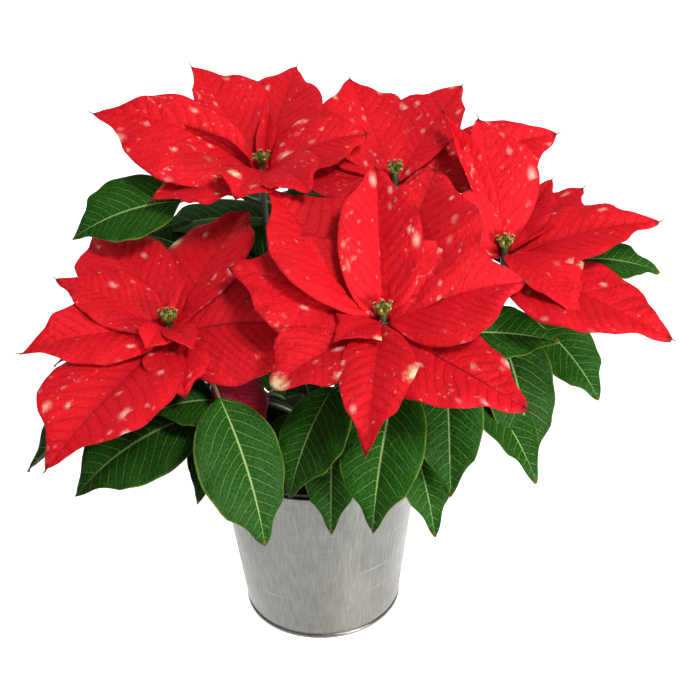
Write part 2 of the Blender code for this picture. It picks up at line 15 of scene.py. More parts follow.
import bmesh
import bpy
from mathutils import Euler, Matrix, Vector
import numpy as np

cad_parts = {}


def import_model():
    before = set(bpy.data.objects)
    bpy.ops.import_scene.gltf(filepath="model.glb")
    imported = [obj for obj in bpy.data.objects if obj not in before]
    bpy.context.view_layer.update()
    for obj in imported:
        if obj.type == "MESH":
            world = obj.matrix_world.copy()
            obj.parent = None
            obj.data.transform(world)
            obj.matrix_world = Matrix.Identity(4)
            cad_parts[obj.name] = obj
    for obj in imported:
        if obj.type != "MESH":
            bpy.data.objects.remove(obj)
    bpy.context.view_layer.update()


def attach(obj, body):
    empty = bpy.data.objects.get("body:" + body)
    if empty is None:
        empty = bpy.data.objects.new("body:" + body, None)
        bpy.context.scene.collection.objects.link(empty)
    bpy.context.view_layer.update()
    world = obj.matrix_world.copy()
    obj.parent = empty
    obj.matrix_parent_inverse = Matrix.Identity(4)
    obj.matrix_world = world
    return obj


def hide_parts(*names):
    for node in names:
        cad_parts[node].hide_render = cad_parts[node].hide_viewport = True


LOG = logging.getLogger("poinsettia")
MM = 0.001
UP = Vector((0.0, 0.0, 1.0))
BODY = "root"


class Slot(Enum):
    """Names of the material slots."""

    ZINC = "zinc"
    LINER = "liner"
    SOIL = "soil"
    STEM = "stem"
    LEAF = "leaf"
    BRACT = "bract"
    BUD = "bud"


# Helpers for colours, node trees and meshes


def linear(code: str, alpha: float = 1.0) -> tuple[float, float, float, float]:
    """Turn an sRGB hex colour into linear values.

    Args:
        code: Six hex digits.
        alpha: Opacity.

    Returns:
        Linear red, green and blue, and the opacity.
    """
    values = []
    for i in (0, 2, 4):
        share = int(code[i:i + 2], 16) / 255.0
        values.append(share / 12.92 if share <= 0.04045 else ((share + 0.055) / 1.055) ** 2.4)
    return values[0], values[1], values[2], alpha


def add(tree: bpy.types.NodeTree, kind: str, inputs: dict | tuple = (), out: int | str = 0,
        **settings: object) -> bpy.types.NodeSocket:
    """Add a node with its settings and links.

    Args:
        tree: Shader or geometry tree.
        kind: Node type.
        inputs: Values or sockets, in order or by identifier, where None leaves one alone.
        out: Index or identifier of the output to return.
        **settings: Properties of the node.

    Returns:
        The chosen output socket.
    """
    made = tree.nodes.new(kind)
    for name, value in settings.items():
        setattr(made, name, value)
    pairs = inputs.items() if isinstance(inputs, dict) else enumerate(inputs)
    for key, value in pairs:
        if value is None:
            continue
        if isinstance(key, int):
            socket = made.inputs[key]
        else:
            socket = next(each for each in made.inputs if each.identifier == key)
        if isinstance(value, bpy.types.NodeSocket):
            tree.links.new(value, socket)
        else:
            socket.default_value = value
    if isinstance(out, int):
        return made.outputs[out] if made.outputs else None
    return next(each for each in made.outputs if each.identifier == out)


def new_material(name: str) -> tuple[bpy.types.Material, bpy.types.NodeTree]:
    """Make an empty node material.

    Args:
        name: Name of the real material.

    Returns:
        The material and its tree.
    """
    material = bpy.data.materials.new(name)
    material.use_nodes = True
    material.node_tree.nodes.clear()
    return material, material.node_tree


def new_tree(name: str, sockets: dict[str, str]) -> tuple[bpy.types.NodeTree, bpy.types.Node]:
    """Make a geometry tree with named inputs.

    Args:
        name: Name of the tree.
        sockets: Socket type of each input after the geometry.

    Returns:
        The tree and its group input node.
    """
    tree = bpy.data.node_groups.new(name, "GeometryNodeTree")
    tree.is_modifier = True
    tree.interface.new_socket("Geometry", in_out="INPUT", socket_type="NodeSocketGeometry")
    for label, kind in sockets.items():
        tree.interface.new_socket(label, in_out="INPUT", socket_type=kind)
    tree.interface.new_socket("Geometry", in_out="OUTPUT", socket_type="NodeSocketGeometry")
    return tree, tree.nodes.new("NodeGroupInput")


def finish_tree(tree: bpy.types.NodeTree, shape: bpy.types.NodeSocket,
                material: bpy.types.NodeSocket) -> None:
    """End a tree in Realize Instances, Set Material and its output.

    Args:
        tree: Geometry tree.
        shape: The made geometry.
        material: Material socket of the group input.
    """
    real = add(tree, "GeometryNodeRealizeInstances", (shape,))
    smooth = add(tree, "GeometryNodeSetShadeSmooth", (real,))
    dressed = add(tree, "GeometryNodeSetMaterial", {"Geometry": smooth, "Material": material})
    add(tree, "NodeGroupOutput", (dressed,))


def grow(name: str, source: bpy.types.Object, tree: bpy.types.NodeTree,
         values: dict[str, object]) -> bpy.types.Object:
    """Run a geometry tree on an object and keep the result as a plain mesh.

    Args:
        name: Name of the new object.
        source: Object that the tree starts from, which is removed.
        tree: Geometry tree.
        values: Value of each named input.

    Returns:
        The new mesh object.
    """
    modifier = source.modifiers.new("grow", "NODES")
    modifier.node_group = tree
    for item in tree.interface.items_tree:
        if item.item_type == "SOCKET" and item.in_out == "INPUT" and item.name in values:
            modifier[item.identifier] = values[item.name]
    source.update_tag()
    graph = bpy.context.evaluated_depsgraph_get()
    mesh = bpy.data.meshes.new_from_object(source.evaluated_get(graph))
    source.modifiers.remove(modifier)
    bpy.data.objects.remove(source, do_unlink=True)
    mesh.name = name
    return place(name, mesh)


def place(name: str, data: bpy.types.ID) -> bpy.types.Object:
    """Link data to the scene as an object at the origin."""
    made = bpy.data.objects.new(name, data)
    bpy.context.scene.collection.objects.link(made)
    return made


def join(name: str, pieces: list[bpy.types.Object]) -> bpy.types.Object:
    """Join mesh objects into the first one, with their materials kept.

    Args:
        name: Name of the joined object.
        pieces: Objects that all sit at the origin.

    Returns:
        The joined object.
    """
    with bpy.context.temp_override(active_object=pieces[0], object=pieces[0],
                                   selected_objects=pieces, selected_editable_objects=pieces):
        bpy.ops.object.join()
    pieces[0].name = name
    pieces[0].data.name = name
    return pieces[0]


def hand_over(piece: bpy.types.Object, node: str) -> None:
    """Make a piece stand for a node and report it.

    Args:
        piece: Finished mesh object.
        node: Node that it replaces.
    """
    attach(piece, BODY)
    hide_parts(node)
    piece.data.calc_loop_triangles()
    LOG.info("%s: %d triangles", piece.name, len(piece.data.loop_triangles))


def lathe(name: str, profile: list[tuple[float, float]], segments: int,
          push: np.ndarray | None = None) -> bpy.types.Object:
    """Turn a profile about the Z axis into a closed mesh.

    Args:
        name: Name of the object.
        profile: Radius and height pairs that start and end on the axis.
        segments: Steps round the axis.
        push: Extra radius at each profile point and step, in millimetres.

    Returns:
        The mesh object.
    """
    shell = bmesh.new()
    rings = []
    for i, (radius, height) in enumerate(profile):
        if radius == 0.0:
            rings.append([shell.verts.new((0.0, 0.0, height * MM))])
            continue
        ring = []
        for k in range(segments):
            angle = 2.0 * math.pi * k / segments
            reach = (radius + (push[i, k] if push is not None else 0.0)) * MM
            ring.append(shell.verts.new((reach * math.cos(angle), reach * math.sin(angle),
                                         height * MM)))
        rings.append(ring)
    for low, high in zip(rings, rings[1:]):
        for k in range(segments):
            a, b = low[k % len(low)], low[(k + 1) % len(low)]
            c, d = high[(k + 1) % len(high)], high[k % len(high)]
            corners = list(dict.fromkeys((a, b, c, d)))
            if len(corners) > 2:
                shell.faces.new(corners)
    bmesh.ops.recalc_face_normals(shell, faces=shell.faces)
    mesh = bpy.data.meshes.new(name)
    shell.to_mesh(mesh)
    shell.free()
    mesh.shade_smooth()
    mesh.set_sharp_from_angle(angle=math.radians(50.0))
    return place(name, mesh)


def direction(az: float, rise: float) -> Vector:
    """Return the unit vector of an azimuth and a rise."""
    flat = math.cos(math.radians(rise))
    return Vector((flat * math.cos(math.radians(az)), flat * math.sin(math.radians(az)),
                   math.sin(math.radians(rise))))


# Finishes


@dataclass(frozen=True)
class BladeSkin:
    """Living tissue of bracts and leaves: a soft satin skin with sunken side veins.

    Its pattern reads the blade's own attributes, so it follows each blade.
    """

    name: str
    body: str
    body_deep: str
    crest_highlight: str
    vein: str
    midrib: str
    rim: str
    back: str
    tip: str
    net: float
    vein_share: float
    roughness: float
    glow: float
    speckled: float
    specular: float
    least_ribs: float
    cream: str = "F8E2B0"
    speck: str = "FFD4C4"
    # Dark purple that is partly the bract's own purple and partly painted shade
    dusk: str = "4A0E26"
    blots: tuple = ((30.0, 0.50, 0.28, 0.55), (14.0, 0.55, 0.42, 0.85), (8.5, 0.50, 0.38, 1.0))

    def material(self) -> bpy.types.Material:
        """Build the material."""
        material, tree = new_material(self.name)
        read = {}
        for label in ("along", "edge", "rib", "tone", "cream", "speck", "under", "ribbed",
                      "dusk"):
            read[label] = add(tree, "ShaderNodeAttribute", out=2, attribute_name=label)
        uv = add(tree, "ShaderNodeUVMap", uv_map="blade")
        # UV is in tenths of a metre, so a scale of 100 draws one cell a millimetre
        cloud = add(tree, "ShaderNodeTexNoise", {"Vector": uv, "Scale": 5.0, "Detail": 3.0})
        grain = add(tree, "ShaderNodeTexNoise", {"Vector": uv, "Scale": 60.0, "Detail": 4.0})
        shade = add(tree, "ShaderNodeMath", (cloud, read["tone"]), operation="MULTIPLY_ADD")
        tree.nodes[-1].inputs[2].default_value = 0.0
        mixed = add(tree, "ShaderNodeMix",
                    {"Factor_Float": shade, "A_Color": linear(self.body),
                     "B_Color": linear(self.body_deep)}, out="Result_Color", data_type="RGBA")
        # Purple bracts are mixed towards a dark purple, partly their own colour and partly painted
        # shade
        mixed = add(tree, "ShaderNodeMix",
                    {"Factor_Float": read["dusk"], "A_Color": mixed,
                     "B_Color": linear(self.dusk)}, out="Result_Color", data_type="RGBA")
        # Side veins run where the rib count is whole; the skin swells between them, and the swells
        # are painted lighter as a painted highlight
        turn = add(tree, "ShaderNodeMath", (read["rib"], math.pi), operation="MULTIPLY")
        sine = add(tree, "ShaderNodeMath", (turn,), operation="SINE")
        swell = add(tree, "ShaderNodeMath", (sine,), operation="ABSOLUTE")
        lift = add(tree, "ShaderNodeMath", (swell, 0.3), operation="MULTIPLY")
        mixed = add(tree, "ShaderNodeMix",
                    {"Factor_Float": lift, "A_Color": mixed, "B_Color": linear(self.crest_highlight)},
                    out="Result_Color", data_type="RGBA")
        line = add(tree, "ShaderNodeMapRange",
                   {"Value": swell, "From Min": self.vein_share, "From Max": 0.02,
                    "To Min": 0.0, "To Max": 1.0}, interpolation_type="SMOOTHSTEP")
        fade = add(tree, "ShaderNodeMapRange",
                   {"Value": read["edge"], "From Min": 1.0, "From Max": 0.55,
                    "To Min": 0.0, "To Max": 1.0})
        line = add(tree, "ShaderNodeMath", (line, fade), operation="MULTIPLY")
        # Fine net of 2.5 mm meshes between the side veins
        mesh_gap = add(tree, "ShaderNodeTexVoronoi", {"Vector": uv, "Scale": 40.0},
                       feature="DISTANCE_TO_EDGE")
        web = add(tree, "ShaderNodeMapRange",
                  {"Value": mesh_gap, "From Min": 0.09, "From Max": 0.0, "To Min": 0.0,
                   "To Max": self.net})
        drawn = add(tree, "ShaderNodeMath", (line, web), operation="MAXIMUM")
        clear = add(tree, "ShaderNodeMath", (read["ribbed"], self.least_ribs),
                    operation="MAXIMUM")
        drawn = add(tree, "ShaderNodeMath", (drawn, clear), operation="MULTIPLY")
        mixed = add(tree, "ShaderNodeMix",
                    {"Factor_Float": drawn, "A_Color": mixed, "B_Color": linear(self.vein)},
                    out="Result_Color", data_type="RGBA")
        centre = add(tree, "ShaderNodeMapRange",
                     {"Value": read["edge"], "From Min": 0.035, "From Max": 0.01,
                      "To Min": 0.0, "To Max": 1.0})
        centre = add(tree, "ShaderNodeMath", (centre, clear), operation="MULTIPLY")
        mixed = add(tree, "ShaderNodeMix",
                    {"Factor_Float": centre, "A_Color": mixed, "B_Color": linear(self.midrib)},
                    out="Result_Color", data_type="RGBA")
        rim = add(tree, "ShaderNodeMapRange",
                  {"Value": read["edge"], "From Min": 0.95, "From Max": 1.0, "To Min": 0.0,
                   "To Max": 0.6})
        mixed = add(tree, "ShaderNodeMix",
                    {"Factor_Float": rim, "A_Color": mixed, "B_Color": linear(self.rim)},
                    out="Result_Color", data_type="RGBA")
        # Pale blots gather in crowds about 20 mm wide near the margins, over a fine dust
        crowd = add(tree, "ShaderNodeTexNoise", {"Vector": uv, "Scale": 4.5, "Detail": 1.0})
        crowd = add(tree, "ShaderNodeMapRange",
                    {"Value": crowd, "From Min": 0.42, "From Max": 0.60, "To Min": 0.15,
                     "To Max": 2.0})
        outer = add(tree, "ShaderNodeMath", (read["edge"], 0.8, 0.2), operation="MULTIPLY_ADD")
        dense = add(tree, "ShaderNodeMath", (crowd, outer), operation="MULTIPLY")
        dense = add(tree, "ShaderNodeMath", (dense, read["speck"]), operation="MULTIPLY")
        bleed = add(tree, "ShaderNodeTexNoise", {"Vector": uv, "Scale": 55.0, "Detail": 2.0},
                    out="Color")
        bleed = add(tree, "ShaderNodeVectorMath", (bleed, (0.022, 0.022, 0.0), uv),
                    operation="MULTIPLY_ADD")
        # Each blot is drawn out by half along the blade
        bleed = add(tree, "ShaderNodeVectorMath", (bleed, (0.7, 1.15, 1.0)),
                    operation="MULTIPLY")
        for scale, size, share, strength in self.blots:
            cell = add(tree, "ShaderNodeTexVoronoi", {"Vector": bleed, "Scale": scale})
            draw = tree.nodes[-1].outputs["Color"]
            chance = add(tree, "ShaderNodeSeparateColor", (draw,))
            girth = add(tree, "ShaderNodeSeparateColor", (draw,), out=1)
            girth = add(tree, "ShaderNodeMath", (girth, 0.6, 0.4), operation="MULTIPLY_ADD")
            reach = add(tree, "ShaderNodeMath", (cell, girth), operation="DIVIDE")
            dot = add(tree, "ShaderNodeMapRange",
                      {"Value": reach, "From Min": size, "From Max": -0.5 * size,
                       "To Min": 0.0, "To Max": strength}, interpolation_type="SMOOTHSTEP")
            few = add(tree, "ShaderNodeMath", (dense, share * self.speckled),
                      operation="MULTIPLY")
            chosen = add(tree, "ShaderNodeMath", (chance, few), operation="LESS_THAN")
            dot = add(tree, "ShaderNodeMath", (dot, chosen), operation="MULTIPLY")
            mixed = add(tree, "ShaderNodeMix",
                        {"Factor_Float": dot, "A_Color": mixed, "B_Color": linear(self.speck)},
                        out="Result_Color", data_type="RGBA")
        ragged = add(tree, "ShaderNodeTexNoise", {"Vector": uv, "Scale": 25.0, "Detail": 3.0})
        patch = add(tree, "ShaderNodeMath", (ragged, 0.9), operation="MULTIPLY")
        patch = add(tree, "ShaderNodeMath", (read["cream"], patch), operation="ADD")
        patch = add(tree, "ShaderNodeMapRange",
                    {"Value": patch, "From Min": 0.45, "From Max": 1.2, "To Min": 0.0,
                     "To Max": 1.0}, interpolation_type="SMOOTHSTEP")
        mixed = add(tree, "ShaderNodeMix",
                    {"Factor_Float": patch, "A_Color": mixed, "B_Color": linear(self.cream)},
                    out="Result_Color", data_type="RGBA")
        awn = add(tree, "ShaderNodeMapRange",
                  {"Value": read["along"], "From Min": 0.955, "From Max": 0.99, "To Min": 0.0,
                   "To Max": 0.85})
        mixed = add(tree, "ShaderNodeMix",
                    {"Factor_Float": awn, "A_Color": mixed, "B_Color": linear(self.tip)},
                    out="Result_Color", data_type="RGBA")
        behind = add(tree, "ShaderNodeMath", (read["under"], 0.75), operation="MULTIPLY")
        mixed = add(tree, "ShaderNodeMix",
                    {"Factor_Float": behind, "A_Color": mixed, "B_Color": linear(self.back)},
                    out="Result_Color", data_type="RGBA")
        rough = add(tree, "ShaderNodeMapRange",
                    {"Value": grain, "From Min": 0.3, "From Max": 0.7,
                     "To Min": self.roughness - 0.06, "To Max": self.roughness + 0.08})
        # Crape of 3 mm puckers between the veins
        crape = add(tree, "ShaderNodeTexNoise", {"Vector": uv, "Scale": 32.0, "Detail": 4.0})
        height = add(tree, "ShaderNodeMath", (crape, 2.5, grain), operation="MULTIPLY_ADD")
        height = add(tree, "ShaderNodeMath", (height, web), operation="SUBTRACT")
        height = add(tree, "ShaderNodeMath", (height, line), operation="SUBTRACT")
        bump = add(tree, "ShaderNodeBump",
                   {"Strength": 0.45, "Distance": 0.0010, "Height": height})
        skin = add(tree, "ShaderNodeBsdfPrincipled",
                   {"Base Color": mixed, "Roughness": rough, "Normal": bump,
                    "Subsurface Weight": self.glow, "Subsurface Radius": (1.0, 0.35, 0.15),
                    "Subsurface Scale": 0.003, "Specular IOR Level": self.specular})
        add(tree, "ShaderNodeOutputMaterial", (skin,))
        return material


# In both skins crest is a lighter colour laid on the swells between the veins: a painted highlight
BRACT_SKIN = BladeSkin(
    name="velvet bract tissue", body="DE1020", body_deep="B40816", crest_highlight="E81F28",
    vein="780612", midrib="8C0A16", rim="8A0E18", back="A8182A", tip="5A0E10",
    net=0.3, vein_share=0.15, roughness=0.5, glow=0.1, speckled=1.0, specular=0.12,
    least_ribs=0.3,
)
LEAF_SKIN = BladeSkin(
    name="satin leaf tissue", body="114303", body_deep="061F02", crest_highlight="1D560B",
    vein="7C9E50", midrib="8CAA64", rim="80902E", back="34542A", tip="6A5A20",
    net=0.14, vein_share=0.12, roughness=0.46, glow=0.03, speckled=0.0, specular=0.08,
    least_ribs=1.0,
)


@dataclass(frozen=True)
class StalkRind:
    """Smooth green or reddened rind of shoots, petioles and midribs."""

    name: str
    low: str
    high: str
    roughness: float = 0.42

    def material(self) -> bpy.types.Material:
        """Build the material, which changes colour along each stalk."""
        material, tree = new_material(self.name)
        run = add(tree, "ShaderNodeAttribute", out=2, attribute_name="run")
        where = add(tree, "ShaderNodeTexCoord", out=3)
        streak = add(tree, "ShaderNodeTexNoise", {"Vector": where, "Scale": 400.0, "Detail": 3.0})
        share = add(tree, "ShaderNodeMath", (streak, 0.5, run), operation="MULTIPLY_ADD")
        share = add(tree, "ShaderNodeMapRange", {"Value": share, "From Min": 0.3, "From Max": 1.1})
        mixed = add(tree, "ShaderNodeMix",
                    {"Factor_Float": share, "A_Color": linear(self.low),
                     "B_Color": linear(self.high)}, out="Result_Color", data_type="RGBA")
        bump = add(tree, "ShaderNodeBump",
                   {"Strength": 0.3, "Distance": 0.0003, "Height": streak})
        rind = add(tree, "ShaderNodeBsdfPrincipled",
                   {"Base Color": mixed, "Roughness": self.roughness, "Normal": bump,
                    "Subsurface Weight": 0.08, "Subsurface Scale": 0.002})
        add(tree, "ShaderNodeOutputMaterial", (rind,))
        return material


@dataclass(frozen=True)
class Bark:
    """Young woody bark: matt grey-brown, with long cracks of about 2 mm."""

    name: str = "young woody bark"

    def material(self) -> bpy.types.Material:
        """Build the material."""
        material, tree = new_material(self.name)
        where = add(tree, "ShaderNodeTexCoord", out=3)
        long = add(tree, "ShaderNodeMapping", {"Vector": where, "Scale": (500.0, 500.0, 90.0)})
        crack = add(tree, "ShaderNodeTexNoise", {"Vector": long, "Scale": 1.0, "Detail": 5.0})
        mixed = add(tree, "ShaderNodeMix",
                    {"Factor_Float": crack, "A_Color": linear("4A3A26"),
                     "B_Color": linear("8C7A58")}, out="Result_Color", data_type="RGBA")
        bump = add(tree, "ShaderNodeBump",
                   {"Strength": 0.7, "Distance": 0.0008, "Height": crack})
        bark = add(tree, "ShaderNodeBsdfPrincipled",
                   {"Base Color": mixed, "Roughness": 0.8, "Normal": bump})
        add(tree, "ShaderNodeOutputMaterial", (bark,))
        return material


@dataclass(frozen=True)
class Zinc:
    """Galvanised sheet steel: satin grey metal, clouded, with a fine rolling grain."""

    name: str = "galvanised steel"

    def material(self) -> bpy.types.Material:
        """Build the material."""
        material, tree = new_material(self.name)
        where = add(tree, "ShaderNodeTexCoord", out=3)
        cloud = add(tree, "ShaderNodeTexNoise", {"Vector": where, "Scale": 22.0, "Detail": 3.0})
        warm = add(tree, "ShaderNodeTexNoise", {"Vector": where, "Scale": 11.0, "Detail": 2.0})
        # Rolling grain runs up the sheet, 2 mm wide, and is drawn coarse enough to show
        upright = add(tree, "ShaderNodeMapping",
                      {"Vector": where, "Scale": (480.0, 480.0, 40.0)})
        rolled = add(tree, "ShaderNodeTexNoise",
                     {"Vector": upright, "Scale": 1.0, "Detail": 4.0})
        # A few rub marks run round the pot
        level = add(tree, "ShaderNodeMapping", {"Vector": where, "Scale": (16.0, 16.0, 420.0)})
        rubbed = add(tree, "ShaderNodeTexNoise",
                     {"Vector": level, "Scale": 1.0, "Detail": 3.0})
        mixed = add(tree, "ShaderNodeMix",
                    {"Factor_Float": cloud, "A_Color": linear("555450"),
                     "B_Color": linear("7F7E78")}, out="Result_Color", data_type="RGBA")
        blush = add(tree, "ShaderNodeMapRange",
                    {"Value": warm, "From Min": 0.5, "From Max": 0.7, "To Min": 0.0,
                     "To Max": 0.15})
        mixed = add(tree, "ShaderNodeMix",
                    {"Factor_Float": blush, "A_Color": mixed, "B_Color": linear("857169")},
                    out="Result_Color", data_type="RGBA")
        streak = add(tree, "ShaderNodeMapRange",
                     {"Value": rolled, "From Min": 0.35, "From Max": 0.75, "To Min": 0.0,
                      "To Max": 0.22})
        mixed = add(tree, "ShaderNodeMix",
                    {"Factor_Float": streak, "A_Color": mixed, "B_Color": linear("ACABA5")},
                    out="Result_Color", data_type="RGBA")
        mark = add(tree, "ShaderNodeMapRange",
                   {"Value": rubbed, "From Min": 0.64, "From Max": 0.72, "To Min": 0.0,
                    "To Max": 0.2})
        mixed = add(tree, "ShaderNodeMix",
                    {"Factor_Float": mark, "A_Color": mixed, "B_Color": linear("D2CFC8")},
                    out="Result_Color", data_type="RGBA")
        rough = add(tree, "ShaderNodeMapRange",
                    {"Value": cloud, "From Min": 0.35, "From Max": 0.65, "To Min": 0.24,
                     "To Max": 0.42})
        bump = add(tree, "ShaderNodeBump",
                   {"Strength": 0.5, "Distance": 0.0008, "Height": rolled})
        # Brushing round the pot draws each highlight out into an upright band, and the
        # bright passivated skin adds a whiter one over it
        brushed = add(tree, "ShaderNodeTangent", direction_type="RADIAL", axis="Z")
        steel = add(tree, "ShaderNodeBsdfPrincipled",
                    {"Base Color": mixed, "Metallic": 0.85, "Roughness": rough,
                     "Anisotropic": 0.7, "Anisotropic Rotation": 0.25, "Tangent": brushed,
                     "Normal": bump, "Coat Weight": 0.25, "Coat Roughness": 0.2})
        add(tree, "ShaderNodeOutputMaterial", (steel,))
        return material


@dataclass(frozen=True)
class PotPlastic:
    """Moulded polypropylene: near-black green with a fine satin grain."""

    name: str = "moulded polypropylene"

    def material(self) -> bpy.types.Material:
        """Build the material."""
        material, tree = new_material(self.name)
        where = add(tree, "ShaderNodeTexCoord", out=3)
        grain = add(tree, "ShaderNodeTexNoise", {"Vector": where, "Scale": 900.0, "Detail": 2.0})
        dust = add(tree, "ShaderNodeTexNoise", {"Vector": where, "Scale": 60.0, "Detail": 4.0})
        mixed = add(tree, "ShaderNodeMix",
                    {"Factor_Float": dust, "A_Color": linear("20261A"),
                     "B_Color": linear("3C4030")}, out="Result_Color", data_type="RGBA")
        bump = add(tree, "ShaderNodeBump",
                   {"Strength": 0.2, "Distance": 0.0002, "Height": grain})
        plastic = add(tree, "ShaderNodeBsdfPrincipled",
                      {"Base Color": mixed, "Roughness": 0.38, "Normal": bump, "IOR": 1.49})
        add(tree, "ShaderNodeOutputMaterial", (plastic,))
        return material


@dataclass(frozen=True)
class Peat:
    """Damp peat: black-brown and matt, with paler fibres."""

    name: str = "damp peat"

    def material(self) -> bpy.types.Material:
        """Build the material."""
        material, tree = new_material(self.name)
        where = add(tree, "ShaderNodeTexCoord", out=3)
        crumb = add(tree, "ShaderNodeTexNoise", {"Vector": where, "Scale": 420.0, "Detail": 6.0})
        pale = add(tree, "ShaderNodeMapRange",
                   {"Value": crumb, "From Min": 0.5, "From Max": 0.72})
        mixed = add(tree, "ShaderNodeMix",
                    {"Factor_Float": pale, "A_Color": linear("17110C"),
                     "B_Color": linear("5C4A3A")}, out="Result_Color", data_type="RGBA")
        bump = add(tree, "ShaderNodeBump",
                   {"Strength": 0.9, "Distance": 0.0015, "Height": crumb})
        soil = add(tree, "ShaderNodeBsdfPrincipled",
                   {"Base Color": mixed, "Roughness": 0.95, "Normal": bump})
        add(tree, "ShaderNodeOutputMaterial", (soil,))
        return material


@dataclass(frozen=True)
class BudSkin:
    """Waxy bud tissue in one tint with a paler mottle."""

    name: str
    tint: str
    mottle: str
    roughness: float = 0.35

    def material(self) -> bpy.types.Material:
        """Build the material."""
        material, tree = new_material(self.name)
        where = add(tree, "ShaderNodeTexCoord", out=3)
        spots = add(tree, "ShaderNodeTexNoise", {"Vector": where, "Scale": 900.0, "Detail": 3.0})
        mixed = add(tree, "ShaderNodeMix",
                    {"Factor_Float": spots, "A_Color": linear(self.tint),
                     "B_Color": linear(self.mottle)}, out="Result_Color", data_type="RGBA")
        bump = add(tree, "ShaderNodeBump",
                   {"Strength": 0.3, "Distance": 0.0003, "Height": spots})
        wax = add(tree, "ShaderNodeBsdfPrincipled",
                  {"Base Color": mixed, "Roughness": self.roughness, "Normal": bump,
                   "Subsurface Weight": 0.1, "Subsurface Scale": 0.001})
        add(tree, "ShaderNodeOutputMaterial", (wax,))
        return material


# Blades


@dataclass(frozen=True)
class Blade:
    """One bract or leaf blade, with the same sizes as its solid, and its markings.

    az, rise and length give its tip, arch bends it, roll tips it about its midrib,
    fold lifts both margins, peak is where it is widest, sharp how pointed it is, lean
    makes its right half wider, drop lowers its root, and teeth are (place, height)
    pairs. specks is how speckled it is, ribs how clearly its veins show, dusk how
    far it turns a dark purple, which is partly its own purple and partly painted
    shade, and cream lists (share along, share across, radius) of pale patches.
    """

    az: float
    rise: float
    length: float
    width: float
    arch: float = 0.05
    roll: float = 0.0
    fold: float = 8.0
    peak: float = 0.42
    sharp: float = 0.95
    lean: float = 0.0
    wave: float = 0.02
    phase: float = 0.0
    drop: float = 8.0
    teeth: tuple = ()
    specks: float = 0.25
    ribs: float = 0.25
    dusk: float = 0.0
    cream: tuple = ()


@dataclass(frozen=True)
class Leaf:
    """A blade on a petiole: its place on the stem, the blade's base, and the blade."""

    at: float
    base: tuple
    blade: Blade


